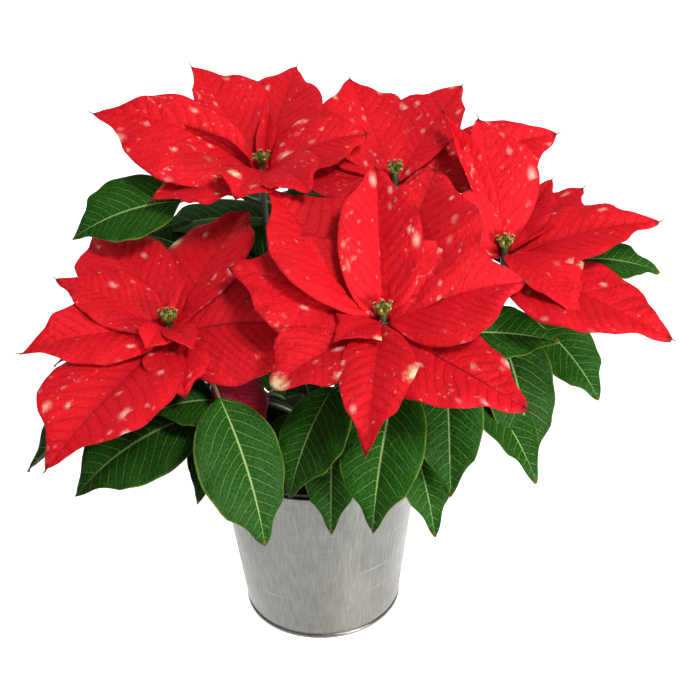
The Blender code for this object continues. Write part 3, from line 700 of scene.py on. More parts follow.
@dataclass
class BladeSheet:
    """Fine closed sheet of one blade, lofted along its midrib.

    Attributes:
        blade: Sizes and markings.
        start: Where its petiole leaves the stem.
        base: Where the blade begins.
        tip: Where it ends.
        tone: Random share for this blade's colour.
    """

    blade: Blade
    start: Vector
    base: Vector
    tip: Vector
    tone: float
    thickness: float = 0.75
    margin_thickness: float = 0.35
    root_half_width: float = 1.6
    tip_half_width: float = 0.35
    row: float = 2.4
    vein_angle: float = 0.62
    wave_cycles: float = 1.6
    wave_lag: float = 0.13
    columns: tuple = (0.0, 0.02, 0.05, 0.1, 0.17, 0.26, 0.36, 0.47, 0.58, 0.69, 0.79, 0.88,
                      0.94, 0.98, 1.0)

    def half_width(self, s: np.ndarray, side: np.ndarray) -> np.ndarray:
        """Return half the width at each share of the length.

        Args:
            s: Shares of the length.
            side: +1 for the right half and -1 for the left.

        Returns:
            Widths in millimetres.
        """
        blade = self.blade
        power = blade.sharp * blade.peak / (1.0 - blade.peak)
        widest = blade.peak ** power * (1.0 - blade.peak) ** blade.sharp
        share = s ** power * (1.0 - s) ** blade.sharp / widest
        for place_, height in blade.teeth:
            spot = abs(place_)
            reach = np.where(s < spot, 0.6 * spot, min(0.16, 0.8 * (1.0 - spot)))
            tooth = height * np.clip(1.0 - np.abs(s - spot) / reach, 0.0, None) ** 1.3
            share = share + np.where(place_ * side > 0.0, tooth, 0.0)
        drawn = 1.0 - 0.3 * np.sin(np.pi * np.clip((s - 0.74) / 0.26, 0.0, 1.0))
        width = 0.5 * blade.width * share * drawn * (1.0 + side * blade.lean)
        least = np.where(s < 0.5, self.root_half_width, self.tip_half_width)
        return np.maximum(width, least)

    def frames(self, s: np.ndarray) -> tuple[np.ndarray, np.ndarray, np.ndarray]:
        """Return midrib points, right vectors and normals at shares of the length."""
        blade = self.blade
        chord = self.tip - self.base
        lift = chord.cross(UP).normalized().cross(chord)
        chord_row = np.array(chord)
        lift_row = np.array(lift)
        bend = s[:, None]
        points = np.array(self.base) + chord_row * bend
        points = points + lift_row * (blade.arch * 4.0 * bend * (1.0 - bend))
        tangent = chord_row + lift_row * (blade.arch * 4.0 * (1.0 - 2.0 * bend))
        tangent /= np.linalg.norm(tangent, axis=1)[:, None]
        across = np.array(direction(blade.az, 0.0).cross(UP))
        side = across - tangent * (tangent @ across)[:, None]
        side /= np.linalg.norm(side, axis=1)[:, None]
        up = np.cross(side, tangent)
        turn = np.radians(blade.roll) * np.minimum(1.0, s / 0.1)
        right = side * np.cos(turn)[:, None] - up * np.sin(turn)[:, None]
        normal = up * np.cos(turn)[:, None] + side * np.sin(turn)[:, None]
        return points, right, normal

    def sheet(self) -> dict[str, np.ndarray]:
        """Build the sheet's vertices, faces and attributes.

        Returns:
            Arrays named verts, faces, uv and one for each attribute.
        """
        blade = self.blade
        rows = max(14, round(blade.length / self.row))
        s = np.linspace(0.0, 1.0, rows + 1)
        u = np.array([-c for c in reversed(self.columns[1:])] + list(self.columns))
        hand = np.where(u > 0.0, 1.0, -1.0)
        points, right, normal = self.frames(s)
        grid_s, grid_u = np.meshgrid(s, u, indexing="ij")
        grid_hand = np.broadcast_to(hand, grid_s.shape)
        half = self.half_width(grid_s, grid_hand)
        reach = np.abs(grid_u) * half
        fold = math.radians(blade.fold)
        swell = np.sin(2.0 * np.pi * (self.wave_cycles * grid_s + blade.phase
                                      + self.wave_lag * grid_hand))
        height = reach * math.sin(fold)
        height = height + blade.wave * blade.length * grid_u ** 2 * swell * grid_s
        # Margins of a real blade curl down a little past its ridge
        height = height + 0.10 * reach * (1.0 - grid_u ** 2) - 0.02 * half * grid_u ** 6
        flat = (grid_hand * reach * math.cos(fold))[..., None]
        middle = points[:, None, :] + right[:, None, :] * flat
        middle = middle + normal[:, None, :] * height[..., None]
        thick = self.thickness + (self.margin_thickness - self.thickness) * grid_u ** 2
        offset = normal[:, None, :] * (0.5 * thick[..., None])
        verts = np.concatenate([(middle + offset).reshape(-1, 3),
                                (middle - offset).reshape(-1, 3)]) * MM
        along = grid_s * blade.length
        spacing = max(4.5, blade.length / 13.0)
        side_shift = 0.45 * np.clip(np.abs(grid_u) / 0.06, 0.0, 1.0) * (grid_hand > 0.0)
        rib = (along - self.vein_angle * reach - 0.35 * reach ** 2 / (0.5 * blade.width))
        rib = rib / spacing + side_shift + 0.12 * np.sin(7.0 * self.tone + 0.21 * along)
        lateral = grid_hand * reach
        cream = np.full(grid_s.shape, -1.0)
        for patch_s, patch_u, radius in blade.cream:
            index = int(round(patch_s * rows))
            column = int(np.argmin(np.abs(u - patch_u)))
            gap = np.hypot(along - patch_s * blade.length, lateral - lateral[index, column])
            cream = np.maximum(cream, 0.75 * (1.0 - gap / radius))
        count = grid_s.size
        wide = len(u)
        quads = []
        for i in range(rows):
            for j in range(wide - 1):
                a, b = i * wide + j, i * wide + j + 1
                c, d = b + wide, a + wide
                quads.append((a, b, c, d))
                quads.append((count + d, count + c, count + b, count + a))
            for j in (0, wide - 1):
                a, b = i * wide + j, (i + 1) * wide + j
                ring = (a, b, count + b, count + a)
                quads.append(ring if j == 0 else ring[::-1])
        for j in range(wide - 1):
            a, b = j, j + 1
            quads.append((a, count + a, count + b, b))
            a, b = rows * wide + j, rows * wide + j + 1
            quads.append((a, b, count + b, count + a))
        facing = np.repeat(normal, wide, axis=0)
        both = {
            "verts": verts,
            "faces": np.array(quads),
            "lift": np.concatenate([facing, facing]),
            "uv": np.tile(np.stack([along.ravel() / 100.0 + 3.7 * self.tone,
                                    lateral.ravel() / 100.0], axis=1), (2, 1)),
            "under": np.concatenate([np.zeros(count), np.ones(count)]),
        }
        for label, values in (
            ("along", grid_s), ("edge", np.abs(grid_u)), ("rib", rib), ("cream", cream),
            ("tone", np.full(grid_s.shape, self.tone)),
            ("speck", np.full(grid_s.shape, blade.specks)),
            ("ribbed", np.full(grid_s.shape, blade.ribs)),
            ("dusk", np.full(grid_s.shape, blade.dusk)),
            ("girth", np.full(grid_s.shape, min(1.0, blade.width / 50.0))),
        ):
            both[label] = np.tile(values.ravel(), 2)
        return both

    def stalk(self) -> tuple[list[Vector], list[float]]:
        """Return the points and radii of the petiole and of the midrib it runs into."""
        points: list[Vector] = []
        radii: list[float] = []
        bow = (self.base - self.start).length * 0.14
        thick = min(1.25, 0.55 + self.blade.width / 80.0)
        for i in range(8):
            t = i / 8
            points.append(self.start.lerp(self.base, t) + UP * (4.0 * bow * t * (1.0 - t)))
            radii.append(thick * (1.15 - 0.4 * t))
        s = np.linspace(0.0, 0.86, 20)
        middle, _, normal = self.frames(s)
        for k in range(len(s)):
            points.append(Vector(middle[k]) - Vector(normal[k]) * (0.3 * (1.0 - s[k])))
            radii.append(thick * (0.6 - 0.5 * (s[k] / 0.86) ** 0.7))
        return points, radii

    def awn(self) -> tuple[list[Vector], list[float]]:
        """Return the points and radii of the dried awn that hooks up from the tip."""
        ahead = (self.tip - self.base).normalized()
        side = ahead.cross(UP).normalized() * (self.tone - 0.5)
        long = 2.2 + 0.018 * self.blade.length
        points = []
        for i in range(-2, 7):
            t = i / 6
            bend = max(0.0, t) ** 2
            points.append(self.tip + ahead * (long * t) + (UP * 0.45 + side) * (long * bend))
        radii = [0.4, 0.5, 0.5, 0.46, 0.42, 0.36, 0.28, 0.2, 0.1]
        return points, radii


SHEET_LABELS = ("along", "edge", "rib", "cream", "tone", "speck", "ribbed", "dusk", "under",
                "girth")


def sheets_object(name: str, sheets: list[BladeSheet]) -> bpy.types.Object:
    """Put several blade sheets in one mesh with their attributes.

    Args:
        name: Name of the object.
        sheets: Blades.

    Returns:
        The mesh object.
    """
    built = [each.sheet() for each in sheets]
    starts = np.cumsum([0] + [len(each["verts"]) for each in built[:-1]])
    verts = np.concatenate([each["verts"] for each in built])
    faces = np.concatenate([each["faces"] + start for each, start in zip(built, starts)])
    mesh = bpy.data.meshes.new(name)
    mesh.from_pydata(verts.tolist(), [], faces.tolist())
    for label in SHEET_LABELS:
        layer = mesh.attributes.new(label, "FLOAT", "POINT")
        layer.data.foreach_set("value", np.concatenate([each[label] for each in built]))
    lift = mesh.attributes.new("lift", "FLOAT_VECTOR", "POINT")
    lift.data.foreach_set("vector", np.concatenate([each["lift"] for each in built]).ravel())
    uv = np.concatenate([each["uv"] for each in built])
    corners = np.empty(len(mesh.loops), dtype=np.int32)
    mesh.loops.foreach_get("vertex_index", corners)
    mesh.uv_layers.new(name="blade").data.foreach_set("uv", uv[corners].ravel())
    return place(name, mesh)


@dataclass
class GrowthTrees:
    """Geometry trees that the plant's pieces share."""

    relief: bpy.types.NodeTree = field(init=False)
    sweep: bpy.types.NodeTree = field(init=False)
    scatter: bpy.types.NodeTree = field(init=False)
    cluster: bpy.types.NodeTree = field(init=False)

    def __post_init__(self) -> None:
        """Build every tree."""
        self.relief = self.build_relief()
        self.sweep = self.build_sweep()
        self.scatter = self.build_scatter()
        self.cluster = self.build_cluster()

    def build_relief(self) -> bpy.types.NodeTree:
        """Build the tree that pleats a blade between its side veins and ruffles it."""
        tree, given = new_tree("blade_relief", {
            "Pleat": "NodeSocketFloat", "Ruffle": "NodeSocketFloat",
            "Pucker": "NodeSocketFloat", "Seed": "NodeSocketFloat",
            "Material": "NodeSocketMaterial",
        })
        read = {}
        for label in ("rib", "edge", "along", "tone", "girth"):
            read[label] = add(tree, "GeometryNodeInputNamedAttribute", {"Name": label},
                              data_type="FLOAT")
        lift = add(tree, "GeometryNodeInputNamedAttribute", {"Name": "lift"},
                   data_type="FLOAT_VECTOR")
        turn = add(tree, "ShaderNodeMath", (read["rib"], math.pi), operation="MULTIPLY")
        sine = add(tree, "ShaderNodeMath", (turn,), operation="SINE")
        fullness = add(tree, "ShaderNodeMath", (sine,), operation="ABSOLUTE")
        fullness = add(tree, "ShaderNodeMath", (fullness, 0.7), operation="POWER")
        pleat = add(tree, "ShaderNodeMath", (fullness, 0.5), operation="SUBTRACT")
        inner = add(tree, "ShaderNodeMapRange",
                    {"Value": read["edge"], "From Min": 0.03, "From Max": 0.3})
        outer = add(tree, "ShaderNodeMapRange",
                    {"Value": read["edge"], "From Min": 1.0, "From Max": 0.6,
                     "To Min": 0.12, "To Max": 1.0})
        toward_tip = add(tree, "ShaderNodeMapRange",
                         {"Value": read["along"], "From Min": 1.0, "From Max": 0.8,
                          "To Min": 0.2, "To Max": 1.0})
        pleat = add(tree, "ShaderNodeMath", (pleat, inner), operation="MULTIPLY")
        pleat = add(tree, "ShaderNodeMath", (pleat, outer), operation="MULTIPLY")
        pleat = add(tree, "ShaderNodeMath", (pleat, toward_tip), operation="MULTIPLY")
        pleat = add(tree, "ShaderNodeMath", (pleat, given.outputs["Pleat"]),
                    operation="MULTIPLY")
        # Ruffles of the margin, two to three pleats long
        slow = add(tree, "ShaderNodeMath", (read["rib"], 1.7, given.outputs["Seed"]),
                   operation="MULTIPLY_ADD")
        own = add(tree, "ShaderNodeMath", (read["tone"], 40.0, slow),
                  operation="MULTIPLY_ADD")
        ruffle = add(tree, "ShaderNodeMath", (own,), operation="SINE")
        rim = add(tree, "ShaderNodeMath", (read["edge"], 3.0), operation="POWER")
        ruffle = add(tree, "ShaderNodeMath", (ruffle, rim), operation="MULTIPLY")
        ruffle = add(tree, "ShaderNodeMath", (ruffle, toward_tip), operation="MULTIPLY")
        ruffle = add(tree, "ShaderNodeMath", (ruffle, given.outputs["Ruffle"]),
                     operation="MULTIPLY")
        place_ = add(tree, "GeometryNodeInputPosition")
        noise = add(tree, "ShaderNodeTexNoise",
                    {"Vector": place_, "W": given.outputs["Seed"], "Scale": 45.0,
                     "Detail": 2.0}, noise_dimensions="4D")
        pucker = add(tree, "ShaderNodeMath", (noise, 0.5), operation="SUBTRACT")
        pucker = add(tree, "ShaderNodeMath", (pucker, inner), operation="MULTIPLY")
        pucker = add(tree, "ShaderNodeMath", (pucker, given.outputs["Pucker"]),
                     operation="MULTIPLY")
        total = add(tree, "ShaderNodeMath", (pleat, ruffle), operation="ADD")
        total = add(tree, "ShaderNodeMath", (total, pucker), operation="ADD")
        total = add(tree, "ShaderNodeMath", (total, read["girth"]), operation="MULTIPLY")
        offset = add(tree, "ShaderNodeVectorMath", {"Vector": lift, "Scale": total},
                     operation="SCALE")
        moved = add(tree, "GeometryNodeSetPosition",
                    {"Geometry": given.outputs["Geometry"], "Offset": offset})
        finish_tree(tree, moved, given.outputs["Material"])
        return tree

    def build_sweep(self) -> bpy.types.NodeTree:
        """Build the tree that sweeps a round, slightly knobbly stalk along curves."""
        tree, given = new_tree("stalk_sweep", {
            "Sides": "NodeSocketInt", "Knobs": "NodeSocketFloat",
            "Knob Scale": "NodeSocketFloat", "Material": "NodeSocketMaterial",
        })
        run = add(tree, "GeometryNodeSplineParameter")
        marked = add(tree, "GeometryNodeStoreNamedAttribute",
                     {"Geometry": given.outputs["Geometry"], "Name": "run", "Value": run},
                     data_type="FLOAT", domain="POINT")
        ring = add(tree, "GeometryNodeCurvePrimitiveCircle",
                   {"Resolution": given.outputs["Sides"], "Radius": MM})
        girth = add(tree, "GeometryNodeInputRadius")
        tube = add(tree, "GeometryNodeCurveToMesh",
                   {"Curve": marked, "Profile Curve": ring, "Scale": girth,
                    "Fill Caps": True})
        spot = add(tree, "GeometryNodeInputPosition")
        noise = add(tree, "ShaderNodeTexNoise",
                    {"Vector": spot, "Scale": given.outputs["Knob Scale"], "Detail": 3.0})
        push = add(tree, "ShaderNodeMath", (noise, 0.5), operation="SUBTRACT")
        push = add(tree, "ShaderNodeMath", (push, given.outputs["Knobs"]),
                   operation="MULTIPLY")
        facing = add(tree, "GeometryNodeInputNormal")
        offset = add(tree, "ShaderNodeVectorMath", {"Vector": facing, "Scale": push},
                     operation="SCALE")
        moved = add(tree, "GeometryNodeSetPosition", {"Geometry": tube, "Offset": offset})
        finish_tree(tree, moved, given.outputs["Material"])
        return tree

    def build_scatter(self) -> bpy.types.NodeTree:
        """Build the tree that strews small crumbs over a surface."""
        tree, given = new_tree("crumb_scatter", {
            "Density": "NodeSocketFloat", "Least": "NodeSocketFloat",
            "Most": "NodeSocketFloat", "Seed": "NodeSocketInt",
            "Material": "NodeSocketMaterial",
        })
        facing = add(tree, "GeometryNodeInputNormal")
        height = add(tree, "ShaderNodeSeparateXYZ", (facing,), out=2)
        upward = add(tree, "FunctionNodeCompare", {"A": height, "B": 0.5},
                     data_type="FLOAT", operation="GREATER_THAN")
        points = add(tree, "GeometryNodeDistributePointsOnFaces",
                     {"Mesh": given.outputs["Geometry"], "Selection": upward,
                      "Density": given.outputs["Density"], "Seed": given.outputs["Seed"]},
                     distribute_method="RANDOM")
        crumb = add(tree, "GeometryNodeMeshIcoSphere", {"Radius": 1.0, "Subdivisions": 1})
        girth = add(tree, "FunctionNodeRandomValue",
                    {"Min_001": given.outputs["Least"], "Max_001": given.outputs["Most"],
                     "Seed": given.outputs["Seed"]}, out="Value_001", data_type="FLOAT")
        squash = add(tree, "FunctionNodeRandomValue",
                     {"Min": (0.6, 0.6, 0.4), "Max": (1.5, 1.1, 0.9),
                      "Seed": given.outputs["Seed"]}, data_type="FLOAT_VECTOR")
        size = add(tree, "ShaderNodeVectorMath", {"Vector": squash, "Scale": girth},
                   operation="SCALE")
        spin = add(tree, "FunctionNodeRandomValue",
                   {"Min": (0.0, 0.0, 0.0), "Max": (6.28, 6.28, 6.28),
                    "Seed": given.outputs["Seed"]}, data_type="FLOAT_VECTOR")
        turn = add(tree, "FunctionNodeEulerToRotation", (spin,))
        strewn = add(tree, "GeometryNodeInstanceOnPoints",
                     {"Points": points, "Instance": crumb, "Rotation": turn, "Scale": size})
        real = add(tree, "GeometryNodeRealizeInstances", (strewn,))
        spot = add(tree, "GeometryNodeInputPosition")
        noise = add(tree, "ShaderNodeTexNoise",
                    {"Vector": spot, "Scale": 900.0, "Detail": 2.0}, out=1)
        middle = add(tree, "ShaderNodeVectorMath", (noise, (0.5, 0.5, 0.5)),
                     operation="SUBTRACT")
        offset = add(tree, "ShaderNodeVectorMath",
                     {"Vector": middle, "Scale": given.outputs["Least"]}, operation="SCALE")
        rough = add(tree, "GeometryNodeSetPosition", {"Geometry": real, "Offset": offset})
        finish_tree(tree, rough, given.outputs["Material"])
        return tree

    def build_cluster(self) -> bpy.types.NodeTree:
        """Build the tree that sets a part of a bud on each point of a cluster."""
        tree, given = new_tree("bud_cluster", {
            "Part": "NodeSocketObject", "Material": "NodeSocketMaterial",
        })
        turn = add(tree, "GeometryNodeInputNamedAttribute", {"Name": "turn"},
                   data_type="FLOAT_VECTOR")
        size = add(tree, "GeometryNodeInputNamedAttribute", {"Name": "size"},
                   data_type="FLOAT")
        part = add(tree, "GeometryNodeObjectInfo", {"Object": given.outputs["Part"]}, out=4)
        rotation = add(tree, "FunctionNodeEulerToRotation", (turn,))
        made = add(tree, "GeometryNodeInstanceOnPoints",
                   {"Points": given.outputs["Geometry"], "Instance": part,
                    "Rotation": rotation, "Scale": size})
        finish_tree(tree, made, given.outputs["Material"])
        return tree


def curves_object(name: str, paths: list[tuple[list[Vector], list[float]]]) -> bpy.types.Object:
    """Put paths with a radius at each point in one curve object.

    Args:
        name: Name of the object.
        paths: Points and radii in millimetres.

    Returns:
        The curve object.
    """
    curve = bpy.data.curves.new(name, "CURVE")
    curve.dimensions = "3D"
    for points, radii in paths:
        spline = curve.splines.new("POLY")
        spline.points.add(len(points) - 1)
        for slot, point, radius in zip(spline.points, points, radii):
            slot.co = (*(Vector(point) * MM), 1.0)
            slot.radius = radius
    return place(name, curve)


# Plant


@dataclass(frozen=True)
class Head:
    """A flower head with its bracts, its buds and the leafy shoot below it."""

    key: str
    centre: tuple
    bud_turn: float
    buds: int
    bracts: tuple
    leaves: tuple
    stalked_bracts: tuple = ()
    axis_length: float = 20.0
    bract_ring: float = 4.0

    def foot(self) -> Vector:
        """Return the lower end of the head's own stem section."""
        return Vector(self.centre) - UP * self.axis_length


HEADS = (
    Head(
        key="centre",
        centre=(46.0, -40.0, 261.0),
        bud_turn=20.0,
        buds=6,
        bracts=(
            Blade(133, 30, 124, 104, arch=0.02, lean=0.15, peak=0.45, sharp=1.25, specks=0.2),
            Blade(163, 13, 105, 84, arch=0.06, roll=-32, phase=0.2, drop=11, specks=0.6),
            Blade(89, 42, 107, 64, arch=0.03, fold=26, peak=0.45, sharp=0.7, specks=1.0),
            Blade(64, 34, 118, 86, peak=0.5, sharp=0.8, lean=0.2, drop=11,
                  teeth=((-0.72, 0.25),), specks=0.5),
            Blade(4, 10, 93, 84, arch=0.06, roll=32, fold=14, teeth=((-0.36, 0.12),)),
            Blade(317, -16, 115, 78, arch=0.03, roll=12, lean=0.2, peak=0.38, sharp=0.8,
                  drop=14, specks=0.7, ribs=0.9),
            Blade(261, -19, 116, 46, sharp=1.0, drop=6, teeth=((-0.42, 0.2),),
                  specks=0.5, cream=((0.46, -1.0, 9.0),)),
            Blade(218, -14, 92, 62, arch=0.08, roll=-14, peak=0.5, sharp=0.7, drop=14,
                  specks=0.7, cream=((0.97, 0.0, 12.0),)),
            Blade(224, -4, 44, 24, roll=-6, drop=5, teeth=((0.45, 0.9), (-0.5, 0.9)),
                  specks=0.1, cream=((0.5, -1.0, 7.0),)),
            Blade(130, 18, 36, 12, fold=20, drop=5),
            Blade(34, 20, 38, 12, fold=20, drop=5),
            Blade(292, -24, 62, 40, arch=0.08, drop=16),
        ),
        leaves=(
            Leaf(0.72, (54, -62, 224), Blade(250, -54, 103, 58, arch=0.1)),
            Leaf(0.62, (11, -52, 212), Blade(238, -42, 80, 50, arch=0.1, lean=-0.2)),
            Leaf(0.35, (11, -44, 190), Blade(265, -52, 84, 40, arch=0.1)),
            Leaf(0.36, (59, -25, 178), Blade(287, -46, 93, 42, arch=0.1)),
            Leaf(0.80, (84, -30, 238), Blade(0, -6, 84, 50, roll=25)),
            Leaf(0.55, (34, -46, 204), Blade(245, -30, 38, 26, arch=0.1, roll=-40)),
            Leaf(0.20, (-8, -26, 178), Blade(250, -30, 66, 42, arch=0.12)),
            Leaf(0.90, (48, -38, 239), Blade(22, 2, 63, 36, arch=0.1, roll=4)),
        ),
    ),
    Head(
        key="left",
        centre=(-99.0, -15.0, 249.0),
        bud_turn=0.0,
        buds=7,
        bracts=(
            Blade(62, 20, 116, 76, arch=0.04, roll=-10, lean=-0.1, peak=0.48, sharp=0.85,
                  specks=0.6, cream=((0.62, -1.0, 9.0),)),
            Blade(124, 16, 106, 64, arch=0.06, roll=-10, drop=11,
                  teeth=((-0.78, 0.3), (0.7, 0.15)), specks=0.4),
            Blade(160, 15, 82, 50, roll=-16, phase=0.3),
            Blade(196, -4, 96, 58, arch=0.08, roll=-24, sharp=1.0, drop=11, specks=0.4),
            Blade(240, -17, 138, 84, arch=0.03, roll=-5, drop=14, teeth=((0.64, 0.15),),
                  specks=0.7, ribs=0.4),
            Blade(358, -6, 98, 87, arch=0.08, roll=34, lean=0.17, peak=0.4, sharp=0.7, drop=11,
                  ribs=0.8),
            Blade(248, -10, 30, 26, arch=0.1, roll=-20, drop=4),
            Blade(300, -10, 34, 24, arch=0.1, drop=4),
            Blade(68, 30, 36, 12, fold=20, drop=5),
            Blade(92, -6, 92, 56, arch=0.08, drop=15),
            Blade(283, -26, 62, 46, arch=0.08, drop=16),
        ),
        leaves=(
            Leaf(0.62, (-63, -74, 221), Blade(299, -58, 101, 60, arch=0.1, lean=0.15)),
            Leaf(0.45, (-74, -51, 197), Blade(200, -24, 104, 66, arch=0.1, roll=-32)),
            Leaf(0.70, (-108, -20, 208), Blade(203, -26, 110, 66, arch=0.08)),
            Leaf(0.86, (-127, 5, 225), Blade(186, -15, 60, 32, arch=0.08)),
            Leaf(0.55, (-66, -49, 204), Blade(199, 1, 47, 51, arch=0.08, roll=-16)),
            Leaf(0.30, (-46, -30, 182), Blade(232, -34, 74, 46, arch=0.12)),
            Leaf(0.42, (-70, 26, 196), Blade(150, -26, 98, 56, arch=0.1)),
            Leaf(0.25, (-23, 13, 167), Blade(90, -7, 81, 67, arch=0.1, roll=18)),
        ),
        stalked_bracts=(
            # This bract's dark purple is partly its own colour and partly painted shade
            Leaf(0.2, (-67, -36, 215),
                 Blade(325, -36, 47, 57, roll=-13, specks=0.05, ribs=1.0, dusk=1.0)),
        ),
    ),
    Head(
        key="right",
        centre=(135.0, 15.0, 282.0),
        bud_turn=10.0,
        buds=6,
        bracts=(
            Blade(97, 42, 101, 56, arch=0.04, lean=0.25, peak=0.55, sharp=0.8, specks=1.0),
            Blade(113, 40, 114, 24, fold=40, peak=0.5, drop=10, specks=0.6),
            Blade(51, 25, 68, 34, peak=0.5),
            Blade(40, 14, 84, 50, arch=0.04, peak=0.5, sharp=1.0, drop=11),
            Blade(0, 8, 104, 56, arch=0.06, roll=20, drop=11, specks=0.4),
            Blade(321, -16, 128, 84, arch=0.03, roll=8, lean=0.2, drop=14, specks=0.4),
            Blade(299, -17, 78, 44, arch=0.08, lean=-0.2, drop=5, teeth=((-0.5, 0.35),),
                  cream=((0.5, -1.0, 9.0),)),
            Blade(171, 19, 48, 60, arch=0.1, roll=-45, peak=0.6, sharp=0.6,
                  cream=((0.92, 0.0, 6.0),)),
            Blade(20, 12, 48, 14, arch=0.08, fold=20, drop=5),
            Blade(75, -6, 92, 56, arch=0.08, drop=15),
        ),
        leaves=(
            Leaf(0.62, (129, 3, 230), Blade(290, -58, 106, 56, arch=0.1)),
            Leaf(0.45, (108, -8, 193), Blade(302, -33, 92, 42, arch=0.1)),
            Leaf(0.55, (90, -28, 215), Blade(268, -52, 92, 48, arch=0.1)),
            Leaf(0.72, (156, 38, 218), Blade(322, -40, 84, 46, arch=0.08, roll=30)),
            Leaf(0.88, (166, 14, 268), Blade(5, -9, 84, 46, arch=0.08, roll=20)),
            Leaf(0.66, (120, 62, 226), Blade(58, -28, 104, 58, arch=0.1)),
            Leaf(0.34, (78, 34, 188), Blade(20, -28, 96, 54, arch=0.1)),
        ),
    ),
    Head(
        key="back_left",
        centre=(-33.0, 75.0, 328.0),
        bud_turn=20.0,
        buds=5,
        bracts=(
            Blade(165, 14, 126, 70, arch=0.1, roll=-38, lean=-0.35, teeth=((0.55, 0.12),),
                  specks=0.9),
            Blade(121, 26, 110, 60, arch=0.04, lean=0.35, peak=0.5, sharp=1.0, specks=0.6),
            Blade(74, 24, 105, 78, arch=0.03, lean=-0.15, peak=0.5, sharp=1.15, specks=0.5),
            Blade(12, 10, 76, 50, arch=0.08, roll=28, peak=0.55, sharp=0.6, specks=0.9),
            Blade(82, 30, 52, 16, fold=40, drop=5),
            Blade(304, -5, 57, 49, arch=0.13, roll=16, peak=0.5, drop=6, specks=0.9),
            Blade(255, -4, 57, 44, arch=0.04, roll=-16, peak=0.5, drop=4, specks=0.5,
                  cream=((0.55, 0.5, 7.0),)),
            Blade(199, -11, 80, 60, arch=0.04, roll=-13, peak=0.5, drop=7, specks=0.6),
            Blade(160, 16, 74, 26, arch=0.08, roll=45, drop=5),
            Blade(105, -8, 96, 58, arch=0.08, drop=15),
        ),
        leaves=(
            Leaf(0.93, (-92, 66, 304), Blade(194, -13, 82, 60, arch=0.08, roll=-28)),
            Leaf(0.70, (-14, 102, 270), Blade(177, -5, 116, 64, arch=0.08)),
            Leaf(0.76, (-22, 128, 278), Blade(98, -28, 104, 58, arch=0.1)),
            Leaf(0.50, (-62, 92, 232), Blade(150, -30, 104, 58, arch=0.1)),
            Leaf(0.34, (-24, 70, 196), Blade(118, -34, 92, 52, arch=0.1)),
            Leaf(0.60, (-27, 73, 239), Blade(148, 10, 93, 60, arch=0.1, roll=-22)),
            Leaf(0.80, (-17, 97, 289), Blade(28, -11, 73, 47, arch=0.1, roll=3)),
            Leaf(0.45, (-65, 59, 245), Blade(154, 20, 73, 60, arch=0.1, roll=-12)),
        ),
    ),
    Head(
        key="back_right",
        centre=(63.0, 75.0, 317.0),
        bud_turn=45.0,
        buds=5,
        bracts=(
            Blade(108, 28, 98, 78, arch=0.03, lean=-0.1, peak=0.48, sharp=1.0, specks=0.7),
            Blade(52, 25, 98, 70, arch=0.03, lean=-0.3, peak=0.5, sharp=1.0, specks=0.9),
            Blade(16, 6, 126, 66, roll=32, lean=0.3, peak=0.55, drop=11, specks=1.0),
            Blade(140, 5, 62, 50, arch=0.08, peak=0.5),
            Blade(184, -1, 79, 55, arch=0.06, roll=-20, drop=9, specks=0.9),
            Blade(80, -6, 96, 60, arch=0.08, drop=15),
            Blade(30, -10, 88, 54, arch=0.08, drop=15),
        ),
        leaves=(
            Leaf(0.74, (70, 126, 268), Blade(76, -26, 108, 60, arch=0.1)),
            Leaf(0.66, (104, 108, 256), Blade(40, -26, 104, 58, arch=0.1)),
            Leaf(0.48, (44, 104, 228), Blade(100, -34, 104, 58, arch=0.1)),
        ),
    ),
)


@dataclass
class WoodyStem:
    """Woody stem with its fork and five short stubs."""

    trees: GrowthTrees
    foot: Vector = field(default_factory=lambda: Vector((2.0, 4.0, 84.0)))
    fork: Vector = field(default_factory=lambda: Vector((0.0, 0.0, 150.0)))
    foot_radius: float = 6.0
    fork_radius: float = 4.8
    stub_length: float = 17.0
    stub_radius: float = 3.2

    def leave(self, head: Head) -> tuple[Vector, Vector]:
        """Return where a head's shoot leaves the fork, and its direction there."""
        centre = Vector(head.centre)
        outward = Vector((centre.x, centre.y, 0.0)).normalized()
        way = (outward + UP * 0.9).normalized()
        return self.fork + way * self.stub_length, way

    def build(self) -> bpy.types.Object:
        """Sweep the stem and its stubs as one piece."""
        steps = [i / 12 for i in range(13)]
        points = [self.foot.lerp(self.fork + UP * 2.0, t) for t in steps]
        radii = [self.foot_radius + (self.fork_radius - self.foot_radius) * t for t in steps]
        paths = [(points, radii)]
        for head in HEADS:
            end, way = self.leave(head)
            line = [(self.fork - way * 2.0).lerp(end, t / 6) for t in range(7)]
            paths.append((line, [self.stub_radius * (1.3 - 0.3 * t / 6) for t in range(7)]))
        return grow("woody_stem", curves_object("woody_stem_paths", paths), self.trees.sweep,
                    {"Sides": 20, "Knobs": 0.0012, "Knob Scale": 220.0,
                     "Material": Bark().material()})


